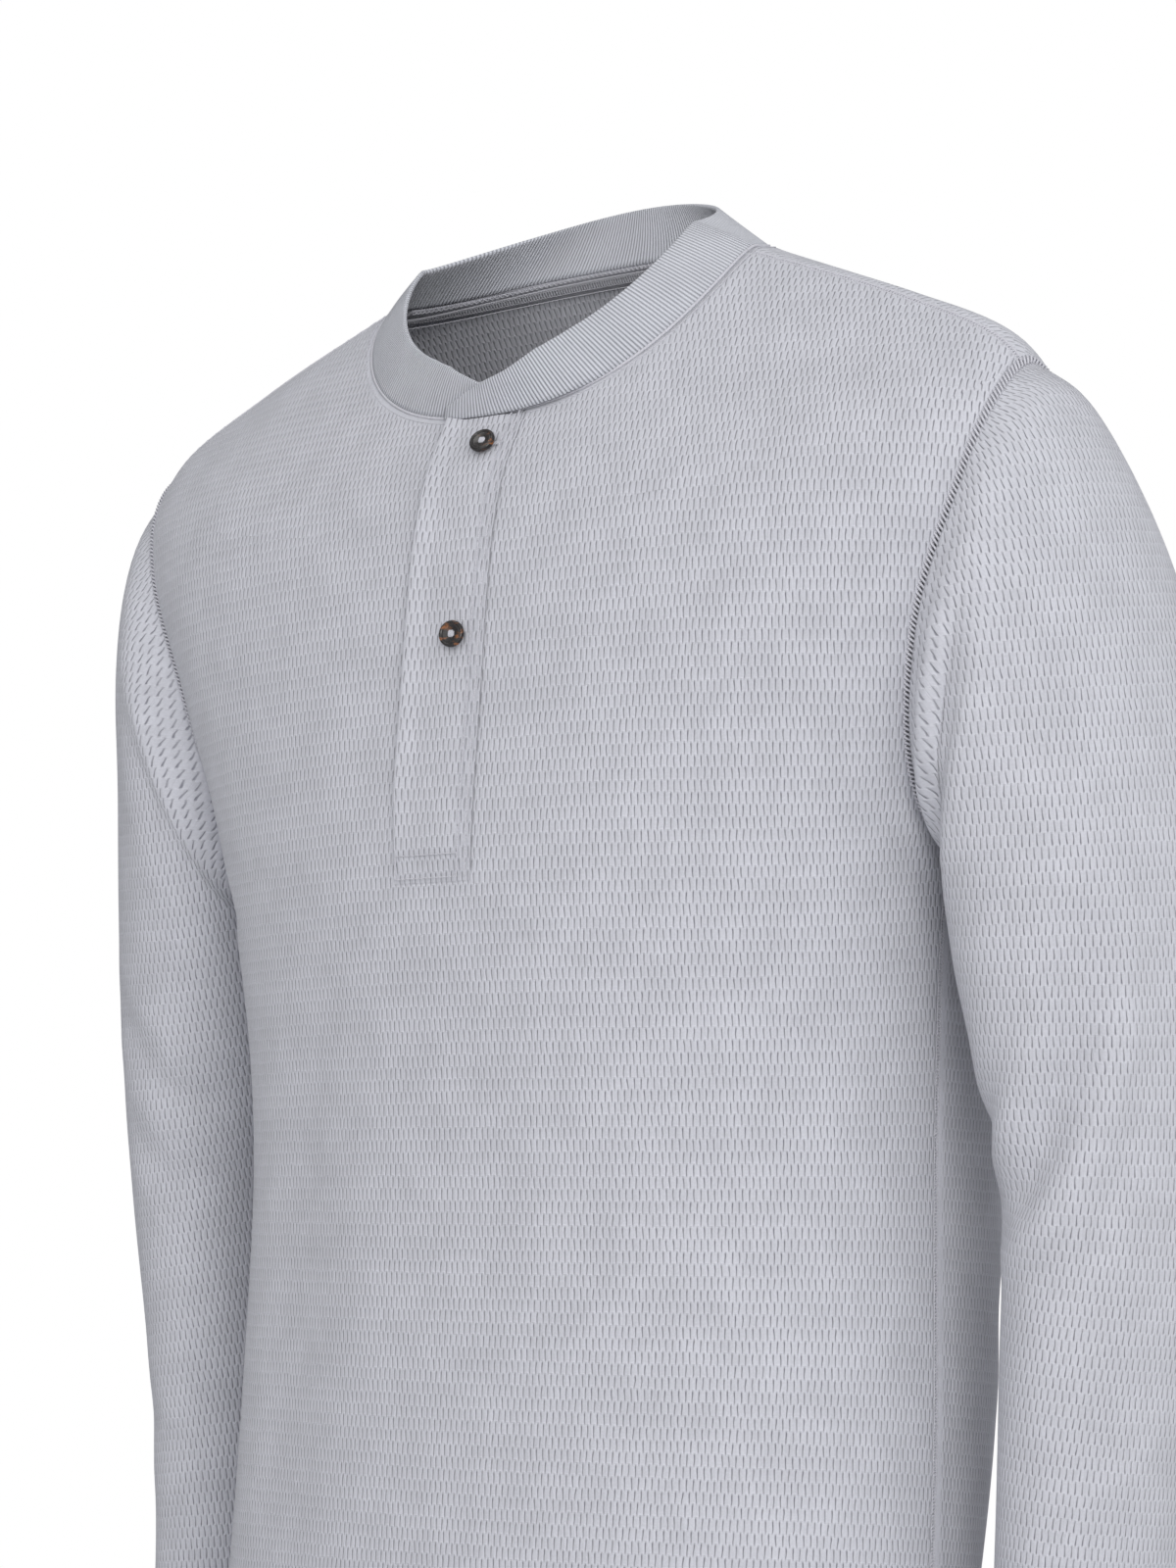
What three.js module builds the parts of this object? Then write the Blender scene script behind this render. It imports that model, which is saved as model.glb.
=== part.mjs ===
// Long-sleeved henley shirt, filled out as it is when worn, with nobody in it.
// Millimetres, +Z up, the wearer faces -Y and the wearer's left side is +X.
// The origin is midway between the two high points of the shoulders, at their level.
//
// The torso is one smooth surface: a stack of level rings from the hem to the neck seam, which
// shrink over the shoulders. Front, back, plackets and neck tape are patches of that surface,
// and the sleeves are lofted from the armholes cut in it.

import * as THREE from 'three';

// ---------------------------------------------------------------- driving sizes
const KNIT = 1.6; // wall of the honeycomb knit
const RIB = 2.2; // wall of the double rib band
const GAP = 0.35; // space left between pieces at a seam
const SLEEVE_STEP = 0.9; // the sleeve head starts this far inside the armhole edge
const SLEEVE_LIFT = 0.5; // and this far out from the body
const HEM_TURN = 24; // height of the turned hem
const CUFF_TURN = 22; // height of the turned hem of a sleeve
const TURN_WALL = 3.0; // wall where a hem is turned up inside

const PLACKET_X = 0; // middle of the placket
const PLACKET_HALF = 20; // half width of the outer placket
const SLOT_HALF = 18.2; // half width of the slot cut in the front panel
const PLACKET_LAP = 5.0; // how far the outer placket runs below the slot

const TAPE_WIDTH = 6.5; // tape over the seam inside the back neck
const TAPE_WALL = 1;

const BUTTON_RADIUS = 5.7;
const BUTTON_THICKNESS = 2.6;
const BUTTON_LIFT = 0.35; // clearance under a button
const BUTTON_X = 6.5; // buttons sit on the wearer's left half of the placket
const BUTTON_DROPS = [16, 98]; // below the neck seam at centre front
const BUTTON_TILT = THREE.MathUtils.degToRad(10); // buttons lean a little on their thread

const COLOUR_KNIT = 0xbdbec7;
const COLOUR_RIB = 0xb9bbc6;
const COLOUR_BUTTON = 0x231c18;

/** Rows of a table as records, from the names of its columns. */
const table = (columns, rows) => rows.map(
  (row) => Object.fromEntries(columns.map((name, index) => [name, row[index]])),
);

// Rings of the torso, from the hem up. Heights are given at centre front, at the side and at
// centre back, so a ring can tip forwards; a round ring has square = squareBack = 2.
const TORSO_COLUMNS = [
  'name', 'zFront', 'zSide', 'zBack', 'halfWidth', 'front', 'back', 'y', 'square', 'squareBack',
];
const TORSO = table(TORSO_COLUMNS, [
  ['hem', -708, -708, -708, 186, 113, 110, 3, 2.2, 2.1],
  ['hip', -606, -606, -606, 176, 111, 110, 11, 2.3, 2],
  ['waist', -486, -486, -486, 174, 111, 106, 19, 2.15, 2.9],
  ['ribs', -368, -366, -370, 173, 114, 106, 23, 2.1, 3.3],
  ['chest', -270, -258, -262, 183, 115, 108, 20, 2.2, 2.6],
  ['upper chest', -196, -168, -172, 211, 101, 113, 12, 2.3, 2.35],
  ['arm head', -146, -100, -100, 236, 87, 106, 3, 2.1, 2.1],
  ['shoulder', -118, -61, -53, 226, 76, 94, -3, 1.95, 1.95],
  ['slope', -97, -32, -20, 174, 70, 73, -2, 1.98, 1.98],
  ['neck seam', -72, -2, 12, 98, 58, 49, 0, 2.45, 2.1],
]);
const RING_RISE = 1.15; // how late a ring climbs from its front or back height to its side height
const RING = Object.fromEntries(TORSO.map((ring, index) => [ring.name, index]));

// Free edge of the rib band, which leans in against the neck.
const BAND_TOP = {
  zFront: -50, zSide: 10, zBack: 39, halfWidth: 74, front: 50, back: 66, y: -13,
  square: 2, squareBack: 1.95,
};

// Armhole, as a loop on the torso surface between two ring positions.
const ARMHOLE = { pit: 4.03, top: 6.8, front: 21.5, back: 24 };
const SIDE_SEAM = 87; // degrees round from centre front
const SHOULDER_SEAM = 86;

// Sections of the left sleeve. Each has an outer and an inner point, a depth front to back,
// and a turn that swings the front of the section in towards the body.
const SLEEVE_COLUMNS = ['name', 'outerX', 'outerZ', 'innerX', 'innerZ', 'y', 'halfDepth', 'turn'];
const SLEEVE = table(SLEEVE_COLUMNS, [
  ['cap', 246, -84, 189, -268, 12, 57, 0],
  ['arm head', 265, -130, 190, -279, 20, 60, 5],
  ['biceps', 277, -190, 190, -296, 28, 61, 9],
  ['upper arm', 283, -252, 190, -322, 35, 62, 9],
  ['mid arm', 284, -322, 195, -356, 41, 60, 8],
  ['elbow', 279, -405, 201, -402, 45, 55, 6],
  ['forearm', 268, -480, 197, -474, 44, 50, 5],
  ['lower arm', 259, -550, 194, -545, 40, 45, 3],
  ['wrist', 255, -622, 193, -617, 32, 40, 0],
  ['cuff', 253, -694, 194, -690, 22, 35, 0],
]);

// ---------------------------------------------------------------- small helpers
const radians = THREE.MathUtils.degToRad;
const lerp = THREE.MathUtils.lerp;
const clamp = THREE.MathUtils.clamp;
const smooth = THREE.MathUtils.smoothstep;

/** Catmull-Rom value at t (0 to 1) between b and c. */
function spline(a, b, c, d, t) {
  const linear = (c - a) * t;
  const square = (2 * a - 5 * b + 4 * c - d) * t * t;
  const cube = (3 * b - a - 3 * c + d) * t * t * t;
  return 0.5 * (2 * b + linear + square + cube);
}

/** The four neighbours of a position along a row of values, with the ends carried on. */
function neighbours(values, position) {
  const index = clamp(Math.floor(position), 0, values.length - 2);
  const b = values[index];
  const c = values[index + 1];
  const a = index > 0 ? values[index - 1] : 2 * b - c;
  const d = index < values.length - 2 ? values[index + 2] : 2 * c - b;
  return [a, b, c, d, position - index];
}

/** One column of a table, read at a position between its rows. */
function column(table, name, position) {
  return spline(...neighbours(table.map((row) => row[name]), position));
}

/** Outward unit normal of a surface point(u, v), by small differences. */
function surfaceNormal(point, u, v) {
  const step = 0.002;
  const alongU = point(u + step, v).sub(point(u - step, v));
  const alongV = point(u, v + step).sub(point(u, v - step));
  return alongU.cross(alongV).normalize();
}

/** A point of a level ring: squared-off ellipse with its own height at front, side and back. */
function ringPoint(ring, angle) {
  const across = Math.sin(angle);
  const along = Math.cos(angle);
  const ahead = along >= 0;
  const power = 2 / (ahead ? ring.square : ring.squareBack);
  const reach = Math.abs(along) ** power;
  const y = ahead ? ring.y - ring.front * reach : ring.y + ring.back * reach;
  const endHeight = ahead ? ring.zFront : ring.zBack;
  const z = lerp(ring.zSide, endHeight, Math.abs(along) ** RING_RISE);
  return new THREE.Vector3(ring.halfWidth * Math.sign(across) * Math.abs(across) ** power, y, z);
}

// ---------------------------------------------------------------- torso surface
/** Point of the torso at an angle from centre front and a ring position. */
function torsoPoint(angle, position) {
  const ring = {};
  for (const name of TORSO_COLUMNS.slice(1)) {
    ring[name] = column(TORSO, name, position);
  }
  return ringPoint(ring, angle);
}

const torsoNormal = (angle, position) => surfaceNormal(torsoPoint, angle, position);

/** Angle on the ring at a distance x from the middle of the front. */
function angleAtX(x, position) {
  const halfWidth = column(TORSO, 'halfWidth', position);
  const square = column(TORSO, 'square', position);
  return Math.sign(x) * Math.asin((Math.abs(x) / halfWidth) ** (square / 2));
}

/** Angle, in radians, of the edge that front and back share with the sleeve or each other. */
function panelEdge(position, isBack) {
  const middle = (ARMHOLE.pit + ARMHOLE.top) / 2;
  const half = (ARMHOLE.top - ARMHOLE.pit) / 2;
  const place = clamp((position - middle) / half, -1, 1);
  const seam = lerp(SIDE_SEAM, SHOULDER_SEAM, (place + 1) / 2);
  const bite = Math.sqrt(Math.max(0, 1 - place * place));
  return radians(isBack ? seam + ARMHOLE.back * bite : seam - ARMHOLE.front * bite);
}

/** Point of the left armhole: 0 at the shoulder, 90 in front, 180 at the pit, 270 behind. */
function armholePoint(turn) {
  const middle = (ARMHOLE.pit + ARMHOLE.top) / 2;
  const half = (ARMHOLE.top - ARMHOLE.pit) / 2;
  const position = middle + half * Math.cos(radians(turn));
  const angle = panelEdge(position, turn > 180);
  return { point: torsoPoint(angle, position), normal: torsoNormal(angle, position) };
}

// ---------------------------------------------------------------- shells
/**
 * A closed wall on a grid of points. Each point has a place, an outward normal and a wall;
 * isOpen(row, column) leaves out a cell, and a closed grid joins its last column to its first.
 */
function shell(grid, { isOpen = () => false, isClosed = false } = {}) {
  const rows = grid.length;
  const columns = grid[0].length;
  const cells = isClosed ? columns : columns - 1;
  const places = [];
  for (const side of [0, 1]) {
    for (const line of grid) {
      for (const { place, normal, wall } of line) {
        const point = place.clone().addScaledVector(normal, -wall * side);
        places.push(point.x, point.y, point.z);
      }
    }
  }
  const vertex = (side, row, col) => side * rows * columns + row * columns + (col % columns);
  const isCell = (row, col) => {
    const inside = row >= 0 && row < rows - 1 && (isClosed || (col >= 0 && col < cells));
    return inside && !isOpen(row, (col + cells) % cells);
  };
  const faces = [];
  const quad = (a, b, c, d) => faces.push(a, b, c, a, c, d);
  for (let row = 0; row < rows - 1; row += 1) {
    for (let col = 0; col < cells; col += 1) {
      if (!isCell(row, col)) continue;
      const outer = [[row, col], [row, col + 1], [row + 1, col + 1], [row + 1, col]];
      quad(...outer.map(([r, c]) => vertex(0, r, c)));
      quad(...outer.map(([r, c]) => vertex(1, r, c)).reverse());
      const sides = [[row - 1, col], [row, col + 1], [row + 1, col], [row, col - 1]];
      sides.forEach((neighbour, index) => {
        if (isCell(...neighbour)) return;
        const [from, to] = [outer[index], outer[(index + 1) % outer.length]];
        quad(vertex(0, ...to), vertex(0, ...from), vertex(1, ...from), vertex(1, ...to));
      });
    }
  }
  return solid(places, faces);
}

/** A geometry of the used points only, turned the right way out. */
function solid(places, faces) {
  const kept = new Map();
  const position = [];
  const index = faces.map((vertex) => {
    if (!kept.has(vertex)) {
      kept.set(vertex, kept.size);
      position.push(...places.slice(vertex * 3, vertex * 3 + 3));
    }
    return kept.get(vertex);
  });
  const point = (vertex) => new THREE.Vector3().fromArray(position, vertex * 3);
  let volume = 0;
  for (let face = 0; face < index.length; face += 3) {
    volume += point(index[face]).dot(point(index[face + 1]).cross(point(index[face + 2])));
  }
  if (volume < 0) index.reverse();
  const geometry = new THREE.BufferGeometry();
  geometry.setAttribute('position', new THREE.Float32BufferAttribute(position, 3));
  geometry.setIndex(index);
  geometry.computeVertexNormals();
  return geometry;
}

/** A grid of wall points from a list of rows and a list of columns. */
function gridOf(rows, columns, make) {
  return rows.map((row) => columns.map((col) => make(row, col)));
}

/** Evenly spaced numbers, both ends included. */
function spread(from, to, count) {
  return Array.from({ length: count }, (_, step) => lerp(from, to, step / (count - 1)));
}

// ---------------------------------------------------------------- front and back panels
const SLOT_FOOT = ARMHOLE.pit; // the slot ends level with the pit of the arm
const SEAM_TRIM = GAP / 2;

/** Ring positions of the rows of a panel, closer together round the armhole. */
function panelRows() {
  const middle = (ARMHOLE.pit + ARMHOLE.top) / 2;
  const half = (ARMHOLE.top - ARMHOLE.pit) / 2;
  const body = spread(0, SLOT_FOOT, 13);
  const armhole = spread(180, 0, 13).map((turn) => middle + half * Math.cos(radians(turn)));
  const neckEdge = RING['neck seam'] - 0.006;
  return [...body, ...armhole.slice(1), ...spread(ARMHOLE.top, neckEdge, 5).slice(1)];
}

/** Wall of a panel at a ring position: double where the hem is turned up. */
function panelWall(position) {
  const height = torsoPoint(0, position).z - TORSO[0].zFront;
  return height < HEM_TURN ? TURN_WALL : KNIT;
}

/** Adds rows just above and below the top of the turned hem, so that its step is crisp. */
function withHemRows(rows) {
  const step = HEM_TURN / (TORSO[1].zFront - TORSO[0].zFront);
  const merged = [...rows, step - 0.004, step + 0.012];
  return merged.sort((a, b) => a - b);
}

/** Pulls a panel's own edge back from the seam line, to leave room for the next piece. */
function trimmedEdge(position, isBack) {
  const edge = panelEdge(position, isBack);
  const step = 0.01;
  const width = torsoPoint(edge + step, position).distanceTo(torsoPoint(edge - step, position));
  const trim = (SEAM_TRIM * 2 * step) / width;
  return isBack ? edge + trim : edge - trim;
}

function makeFront() {
  const rows = withHemRows(panelRows());
  const halfCount = 9;
  const columns = spread(-halfCount, halfCount, 2 * halfCount + 1);
  const grid = gridOf(rows, columns, (position, step) => {
    const side = Math.sign(step);
    const slotEdge = angleAtX(PLACKET_X + side * SLOT_HALF, position);
    const share = step === 0 ? 0 : (Math.abs(step) - 1) / (halfCount - 1);
    return wallPoint(lerp(slotEdge, side * trimmedEdge(position, false), share), position);
  });
  const isOpen = (row, col) => rows[row] > SLOT_FOOT - 1e-6 && Math.abs(columns[col] + 0.5) < 1;
  return shell(grid, { isOpen });
}

function makeBack() {
  const rows = withHemRows(panelRows());
  const columns = spread(-1, 1, 17);
  const grid = gridOf(rows, columns, (position, share) => {
    const edge = trimmedEdge(position, true);
    return wallPoint(Math.PI - share * (Math.PI - edge), position);
  });
  return shell(grid);
}

/** A point of a panel's wall. */
function wallPoint(angle, position) {
  const normal = torsoNormal(angle, position);
  return { place: torsoPoint(angle, position), normal, wall: panelWall(position) };
}

// ---------------------------------------------------------------- sleeves
/** A section of the sleeve at a turn about the arm. */
function sectionPoint(section, turn) {
  const outward = Math.cos(radians(turn));
  const forward = Math.sin(radians(turn)) * section.halfDepth;
  const swing = radians(section.turn);
  const x = (section.outerX + section.innerX) / 2 + (outward * (section.outerX - section.innerX)) / 2;
  const z = (section.outerZ + section.innerZ) / 2 + (outward * (section.outerZ - section.innerZ)) / 2;
  return new THREE.Vector3(x - forward * Math.sin(swing), section.y - forward * Math.cos(swing), z);
}

const ARMHOLE_MIDDLE = [45, 135, 225, 315]
  .map((turn) => armholePoint(turn).point)
  .reduce((sum, point) => sum.add(point), new THREE.Vector3())
  .multiplyScalar(0.25);

/** First ring of the sleeve: the armhole, moved out and in from the panels' edges. */
function sleeveStart(turn) {
  const { point, normal } = armholePoint(turn);
  const inward = ARMHOLE_MIDDLE.clone().sub(point);
  inward.addScaledVector(normal, -inward.dot(normal)).normalize();
  return point.addScaledVector(normal, SLEEVE_LIFT).addScaledVector(inward, SLEEVE_STEP);
}

/** Point of the left sleeve: 0 along its length is the armhole, then one for each section. */
function sleevePoint(turn, length) {
  const round = ((turn % 360) + 360) % 360;
  const stations = [sleeveStart(round), ...SLEEVE.map((section) => sectionPoint(section, round))];
  const place = new THREE.Vector3();
  for (const axis of ['x', 'y', 'z']) {
    place[axis] = spline(...neighbours(stations.map((station) => station[axis]), length));
  }
  return place;
}

function makeSleeve(side) {
  const last = SLEEVE.length;
  const cuffSpan = SLEEVE[last - 2].outerZ - SLEEVE[last - 1].outerZ;
  const turnUp = last - CUFF_TURN / cuffSpan;
  const rows = [0, 0.5, ...spread(1, last - 1, 12), turnUp - 0.02, turnUp + 0.02, last];
  const columns = spread(0, 345, 24);
  const grid = gridOf(rows, columns, (length, turn) => {
    const place = sleevePoint(turn, length);
    const ahead = sleevePoint(turn + 1, length).sub(sleevePoint(turn - 1, length));
    const down = sleevePoint(turn, length + 0.01).sub(sleevePoint(turn, length));
    const normal = ahead.cross(down).normalize();
    if (length === 0) normal.add(armholePoint(turn).normal).normalize(); // square to the seam
    const wall = length > turnUp ? TURN_WALL : KNIT;
    const flip = new THREE.Vector3(side, 1, 1);
    return { place: place.multiply(flip), normal: normal.multiply(flip), wall };
  });
  return shell(grid, { isClosed: true });
}

// ---------------------------------------------------------------- plackets
/** A strip of the front, centred on the placket and moved out from the body. */
function makeStrip({ half, foot, head, lift, count }) {
  const rows = spread(foot, head, 18);
  const columns = spread(PLACKET_X - half, PLACKET_X + half, count);
  const grid = gridOf(rows, columns, (position, x) => {
    const angle = angleAtX(x, position);
    const normal = torsoNormal(angle, position);
    const place = torsoPoint(angle, position).addScaledVector(normal, lift);
    return { place, normal, wall: KNIT };
  });
  return shell(grid);
}

/** Ring position at a height up the centre front. */
function positionAtHeight(height) {
  let low = 0;
  let high = RING['neck seam'];
  for (let pass = 0; pass < 40; pass += 1) {
    const middle = (low + high) / 2;
    if (torsoPoint(0, middle).z < height) low = middle;
    else high = middle;
  }
  return low;
}

const UNDER_HEAD = RING['neck seam'] - 0.012;
const OUTER_HEAD = RING['neck seam'] - 0.075; // the band leans over the thick end of the strip
const OUTER_LIFT = KNIT + GAP;
const OUTER_FOOT = positionAtHeight(torsoPoint(0, SLOT_FOOT).z - PLACKET_LAP);

const makeUnderPlacket = () => makeStrip({
  half: SLOT_HALF - GAP, foot: SLOT_FOOT + 0.006, head: UNDER_HEAD, lift: 0, count: 5,
});

const makeOuterPlacket = () => makeStrip({
  half: PLACKET_HALF, foot: OUTER_FOOT, head: OUTER_HEAD, lift: OUTER_LIFT, count: 6,
});

// ---------------------------------------------------------------- collar band
// The band starts under the outer end, runs round the back and laps over its own start.
const BAND_UNDER_END = 12; // degrees past centre front
const BAND_OVER_END = -10;
const BAND_LAP_LIFT = RIB + GAP;

/** Point of the band: angle round the neck, and share of the way to the free edge. */
function bandSurface(angle, share) {
  const foot = torsoPoint(angle, RING['neck seam']);
  const head = ringPoint(BAND_TOP, angle);
  const bulge = Math.sin(Math.PI * clamp(share, 0, 1));
  const out = new THREE.Vector3(Math.sin(angle), -Math.cos(angle), 0);
  return foot.lerp(head, share).addScaledVector(out, bulge);
}

// Share of its full height that the band keeps near each end, at distances across the front.
const OVER_TAPER = [[-24, 0.2], [-11, 0.47], [0, 0.61], [20, 0.74], [41, 0.92], [60, 1]];
const UNDER_TAPER = [[-46, 1], [-33, 0.95], [-14, 0.74], [0, 0.55], [20, 0.3]];

/** Value at x of a line through a few pairs, held level past its ends. */
function alongPairs(pairs, x) {
  const next = pairs.findIndex(([limit]) => x < limit);
  if (next === 0) return pairs[0][1];
  if (next < 0) return pairs[pairs.length - 1][1];
  const [[fromX, from], [toX, to]] = [pairs[next - 1], pairs[next]];
  return lerp(from, to, (x - fromX) / (toX - fromX));
}

function makeBand() {
  const steps = 46;
  const from = BAND_UNDER_END;
  const to = BAND_OVER_END - 360;
  const columns = spread(from, to, steps);
  const rows = spread(0, 1, 4);
  const grid = gridOf(rows, columns, (row, degrees) => {
    const angle = radians(degrees);
    const isOver = degrees < -180;
    const foot = torsoPoint(angle, RING['neck seam']);
    const fromEnd = degrees - to;
    const isFront = fromEnd < 90 || degrees > -90;
    const taper = isFront ? alongPairs(isOver ? OVER_TAPER : UNDER_TAPER, foot.x) : 1;
    const share = 0.015 + row * taper * 0.985;
    const normal = surfaceNormal(bandSurface, angle, clamp(share, 0.05, 0.95));
    const lap = isOver ? 1 - smooth(fromEnd, 22, 48) : 0;
    const place = bandSurface(angle, share).addScaledVector(normal, lap * BAND_LAP_LIFT);
    return { place, normal, wall: RIB };
  });
  return shell(grid);
}

// ---------------------------------------------------------------- neck tape
/** The tape covers the seam inside the back neck, from shoulder to shoulder. */
function makeTape() {
  const below = TAPE_WIDTH / torsoPoint(Math.PI, 9).distanceTo(torsoPoint(Math.PI, 8));
  const rows = spread(RING['neck seam'] - below, RING['neck seam'] - 0.03, 3);
  const columns = spread(98, 262, 25);
  const grid = gridOf(rows, columns, (position, degrees) => {
    const angle = radians(degrees);
    const normal = torsoNormal(angle, position);
    const place = torsoPoint(angle, position).addScaledVector(normal, -(KNIT + 2 * GAP));
    return { place, normal, wall: TAPE_WALL };
  });
  return shell(grid);
}

// ---------------------------------------------------------------- buttons
/** Half outline of a button: flat back, rounded rim, dished face. */
function buttonProfile() {
  const rim = BUTTON_THICKNESS;
  const outline = [
    [0, 0], [BUTTON_RADIUS - 0.9, 0], [BUTTON_RADIUS - 0.2, 0.5], [BUTTON_RADIUS, 1.2],
    [BUTTON_RADIUS - 0.15, rim - 0.5], [BUTTON_RADIUS - 0.7, rim], [BUTTON_RADIUS - 1.3, rim - 0.15],
    [BUTTON_RADIUS - 2.2, rim - 0.6], [0, rim - 0.9],
  ];
  return outline.map(([radius, height]) => new THREE.Vector2(radius, height));
}

/** Point of the body behind a button, at a drop below the neck seam, and the normal there. */
function buttonSeat(drop) {
  const position = positionAtHeight(TORSO[RING['neck seam']].zFront - drop);
  const angle = angleAtX(BUTTON_X, position);
  return { point: torsoPoint(angle, position), normal: torsoNormal(angle, position) };
}

/** Seats a button on the outer placket. */
function placeButton(mesh, drop) {
  const { point, normal } = buttonSeat(drop);
  const tilt = new THREE.Quaternion().setFromAxisAngle(new THREE.Vector3(0, 0, 1), BUTTON_TILT);
  const facing = normal.clone().applyQuaternion(tilt);
  const stand = OUTER_LIFT + BUTTON_LIFT + BUTTON_RADIUS * Math.sin(BUTTON_TILT);
  mesh.position.copy(point).addScaledVector(normal, stand);
  mesh.quaternion.setFromUnitVectors(new THREE.Vector3(0, 1, 0), facing);
}

/** A button's short thread shank, which stands on the placket and ends under the button. */
function makeShank(button, drop) {
  const { point, normal } = buttonSeat(drop);
  const foot = point.addScaledVector(normal, OUTER_LIFT + 0.05);
  const length = button.position.distanceTo(foot) - 0.4;
  const geometry = new THREE.CylinderGeometry(1.1, 1.3, length, 12);
  const mesh = new THREE.Mesh(geometry);
  mesh.position.copy(foot).addScaledVector(normal, length / 2 + 0.1);
  mesh.quaternion.setFromUnitVectors(new THREE.Vector3(0, 1, 0), normal);
  return mesh;
}

// ---------------------------------------------------------------- the shirt
const knit = () => new THREE.MeshStandardMaterial({ color: COLOUR_KNIT, roughness: 0.9, metalness: 0 });
const rib = () => new THREE.MeshStandardMaterial({ color: COLOUR_RIB, roughness: 0.85, metalness: 0 });
const horn = () => new THREE.MeshStandardMaterial({ color: COLOUR_BUTTON, roughness: 0.2, metalness: 0 });

function named(name, geometry, material) {
  const mesh = new THREE.Mesh(geometry, material);
  mesh.name = name;
  return mesh;
}

function buildShirt() {
  const shirt = new THREE.Group();
  shirt.add(named('front_panel', makeFront(), knit()));
  shirt.add(named('back_panel', makeBack(), knit()));
  shirt.add(named('sleeve_left', makeSleeve(1), knit()));
  shirt.add(named('sleeve_right', makeSleeve(-1), knit()));
  shirt.add(named('placket_under', makeUnderPlacket(), knit()));
  shirt.add(named('placket_outer', makeOuterPlacket(), knit()));
  shirt.add(named('collar_band', makeBand(), rib()));
  shirt.add(named('neck_tape', makeTape(), knit()));
  BUTTON_DROPS.forEach((drop, index) => {
    const button = named(`button_${index + 1}`, new THREE.LatheGeometry(buttonProfile(), 32), horn());
    placeButton(button, drop);
    shirt.add(button);
    const shank = makeShank(button, drop);
    shank.name = `button_thread_${index + 1}`;
    shank.material = rib();
    shirt.add(shank);
  });
  return shirt;
}

export default buildShirt();
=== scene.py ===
"""Long-sleeved henley shirt in a pale honeycomb knit, filled out as worn, with nobody in it.

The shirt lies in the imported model's frame: +Z up, the wearer faces -Y, +X is the wearer's left,
and the origin is midway between the high points of the shoulders. Forms are worked out in
millimetres and every mesh is written in metres.
"""

import logging
import math
from dataclasses import astuple, dataclass, replace
from enum import Enum
from typing import Mapping, Sequence

import bmesh
import bpy
import numpy as np
from mathutils import Matrix, Vector


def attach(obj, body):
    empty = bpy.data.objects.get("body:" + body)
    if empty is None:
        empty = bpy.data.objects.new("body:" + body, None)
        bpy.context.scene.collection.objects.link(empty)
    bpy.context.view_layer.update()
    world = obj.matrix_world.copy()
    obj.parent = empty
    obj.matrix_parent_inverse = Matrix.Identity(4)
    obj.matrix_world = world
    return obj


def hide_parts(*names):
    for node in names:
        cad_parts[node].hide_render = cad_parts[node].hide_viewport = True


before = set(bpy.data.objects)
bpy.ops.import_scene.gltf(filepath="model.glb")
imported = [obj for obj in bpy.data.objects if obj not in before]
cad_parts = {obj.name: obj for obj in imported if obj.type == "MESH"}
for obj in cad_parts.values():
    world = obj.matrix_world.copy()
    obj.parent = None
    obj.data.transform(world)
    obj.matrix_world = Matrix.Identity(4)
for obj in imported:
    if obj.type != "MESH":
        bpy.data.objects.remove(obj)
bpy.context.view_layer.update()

LOG = logging.getLogger("henley")
MM = 0.001  # metres
Array = np.ndarray
Socket = bpy.types.NodeSocket
Triple = tuple[float, float, float]
Colour = tuple[int, int, int]  # red, green and blue in steps of 255


# ------------------------------------------------------------------ sizes, in millimetres
KNIT = 1.6  # wall of the honeycomb knit
RIB = 2.2  # wall of the double rib band
GAP = 0.35  # left between pieces at a seam
TURN_RADIUS = 1.65  # outside radius of a turned hem
SLOT_HALF = 18.2  # half width of the slot in the front panel
PLACKET_HALF = 20.0  # half width of the outer placket
PLACKET_LIFT = KNIT + GAP
BUTTON_X = 6.5
BUTTON_DROPS = (16.0, 98.0)  # below the neck seam at centre front
NECK = 9.0  # ring position of the neck seam
RING_RISE = 1.15  # how soon a ring rises from its side to its front and back
SIDE_SEAM = 87.0  # degrees from centre front
SHOULDER_SEAM = 86.0
CORNERS = (45.0, 135.0, 225.0, 315.0)  # turns about an armhole, for its middle
TURN_STEPS = 8  # rows on the inside of a hem, and on its fold
RAW_EDGE = 1e-6


@dataclass(frozen=True)
class Ring:
    """A level ring of the torso, which may tip: heights in front, at the side and behind."""

    z_front: float
    z_side: float
    z_back: float
    half_width: float
    front: float
    back: float
    y: float
    square: float
    square_back: float


@dataclass(frozen=True)
class Section:
    """A section of the left sleeve: outer and inner point, half depth and swing in degrees."""

    outer_x: float
    outer_z: float
    inner_x: float
    inner_z: float
    y: float
    half_depth: float
    swing: float


TORSO = (
    Ring(-708, -708, -708, 186, 113, 110, 3, 2.2, 2.1),
    Ring(-606, -606, -606, 176, 111, 110, 11, 2.3, 2.0),
    Ring(-486, -486, -486, 174, 111, 106, 19, 2.15, 2.9),
    Ring(-368, -366, -370, 173, 114, 106, 23, 2.1, 3.3),
    Ring(-270, -258, -262, 183, 115, 108, 20, 2.2, 2.6),
    Ring(-196, -168, -172, 211, 101, 113, 12, 2.3, 2.35),
    Ring(-146, -100, -100, 236, 87, 106, 3, 2.1, 2.1),
    Ring(-118, -61, -53, 226, 76, 94, -3, 1.95, 1.95),
    Ring(-97, -32, -20, 174, 70, 73, -2, 1.98, 1.98),
    Ring(-72, -2, 12, 98, 58, 49, 0, 2.45, 2.1),
)
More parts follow.
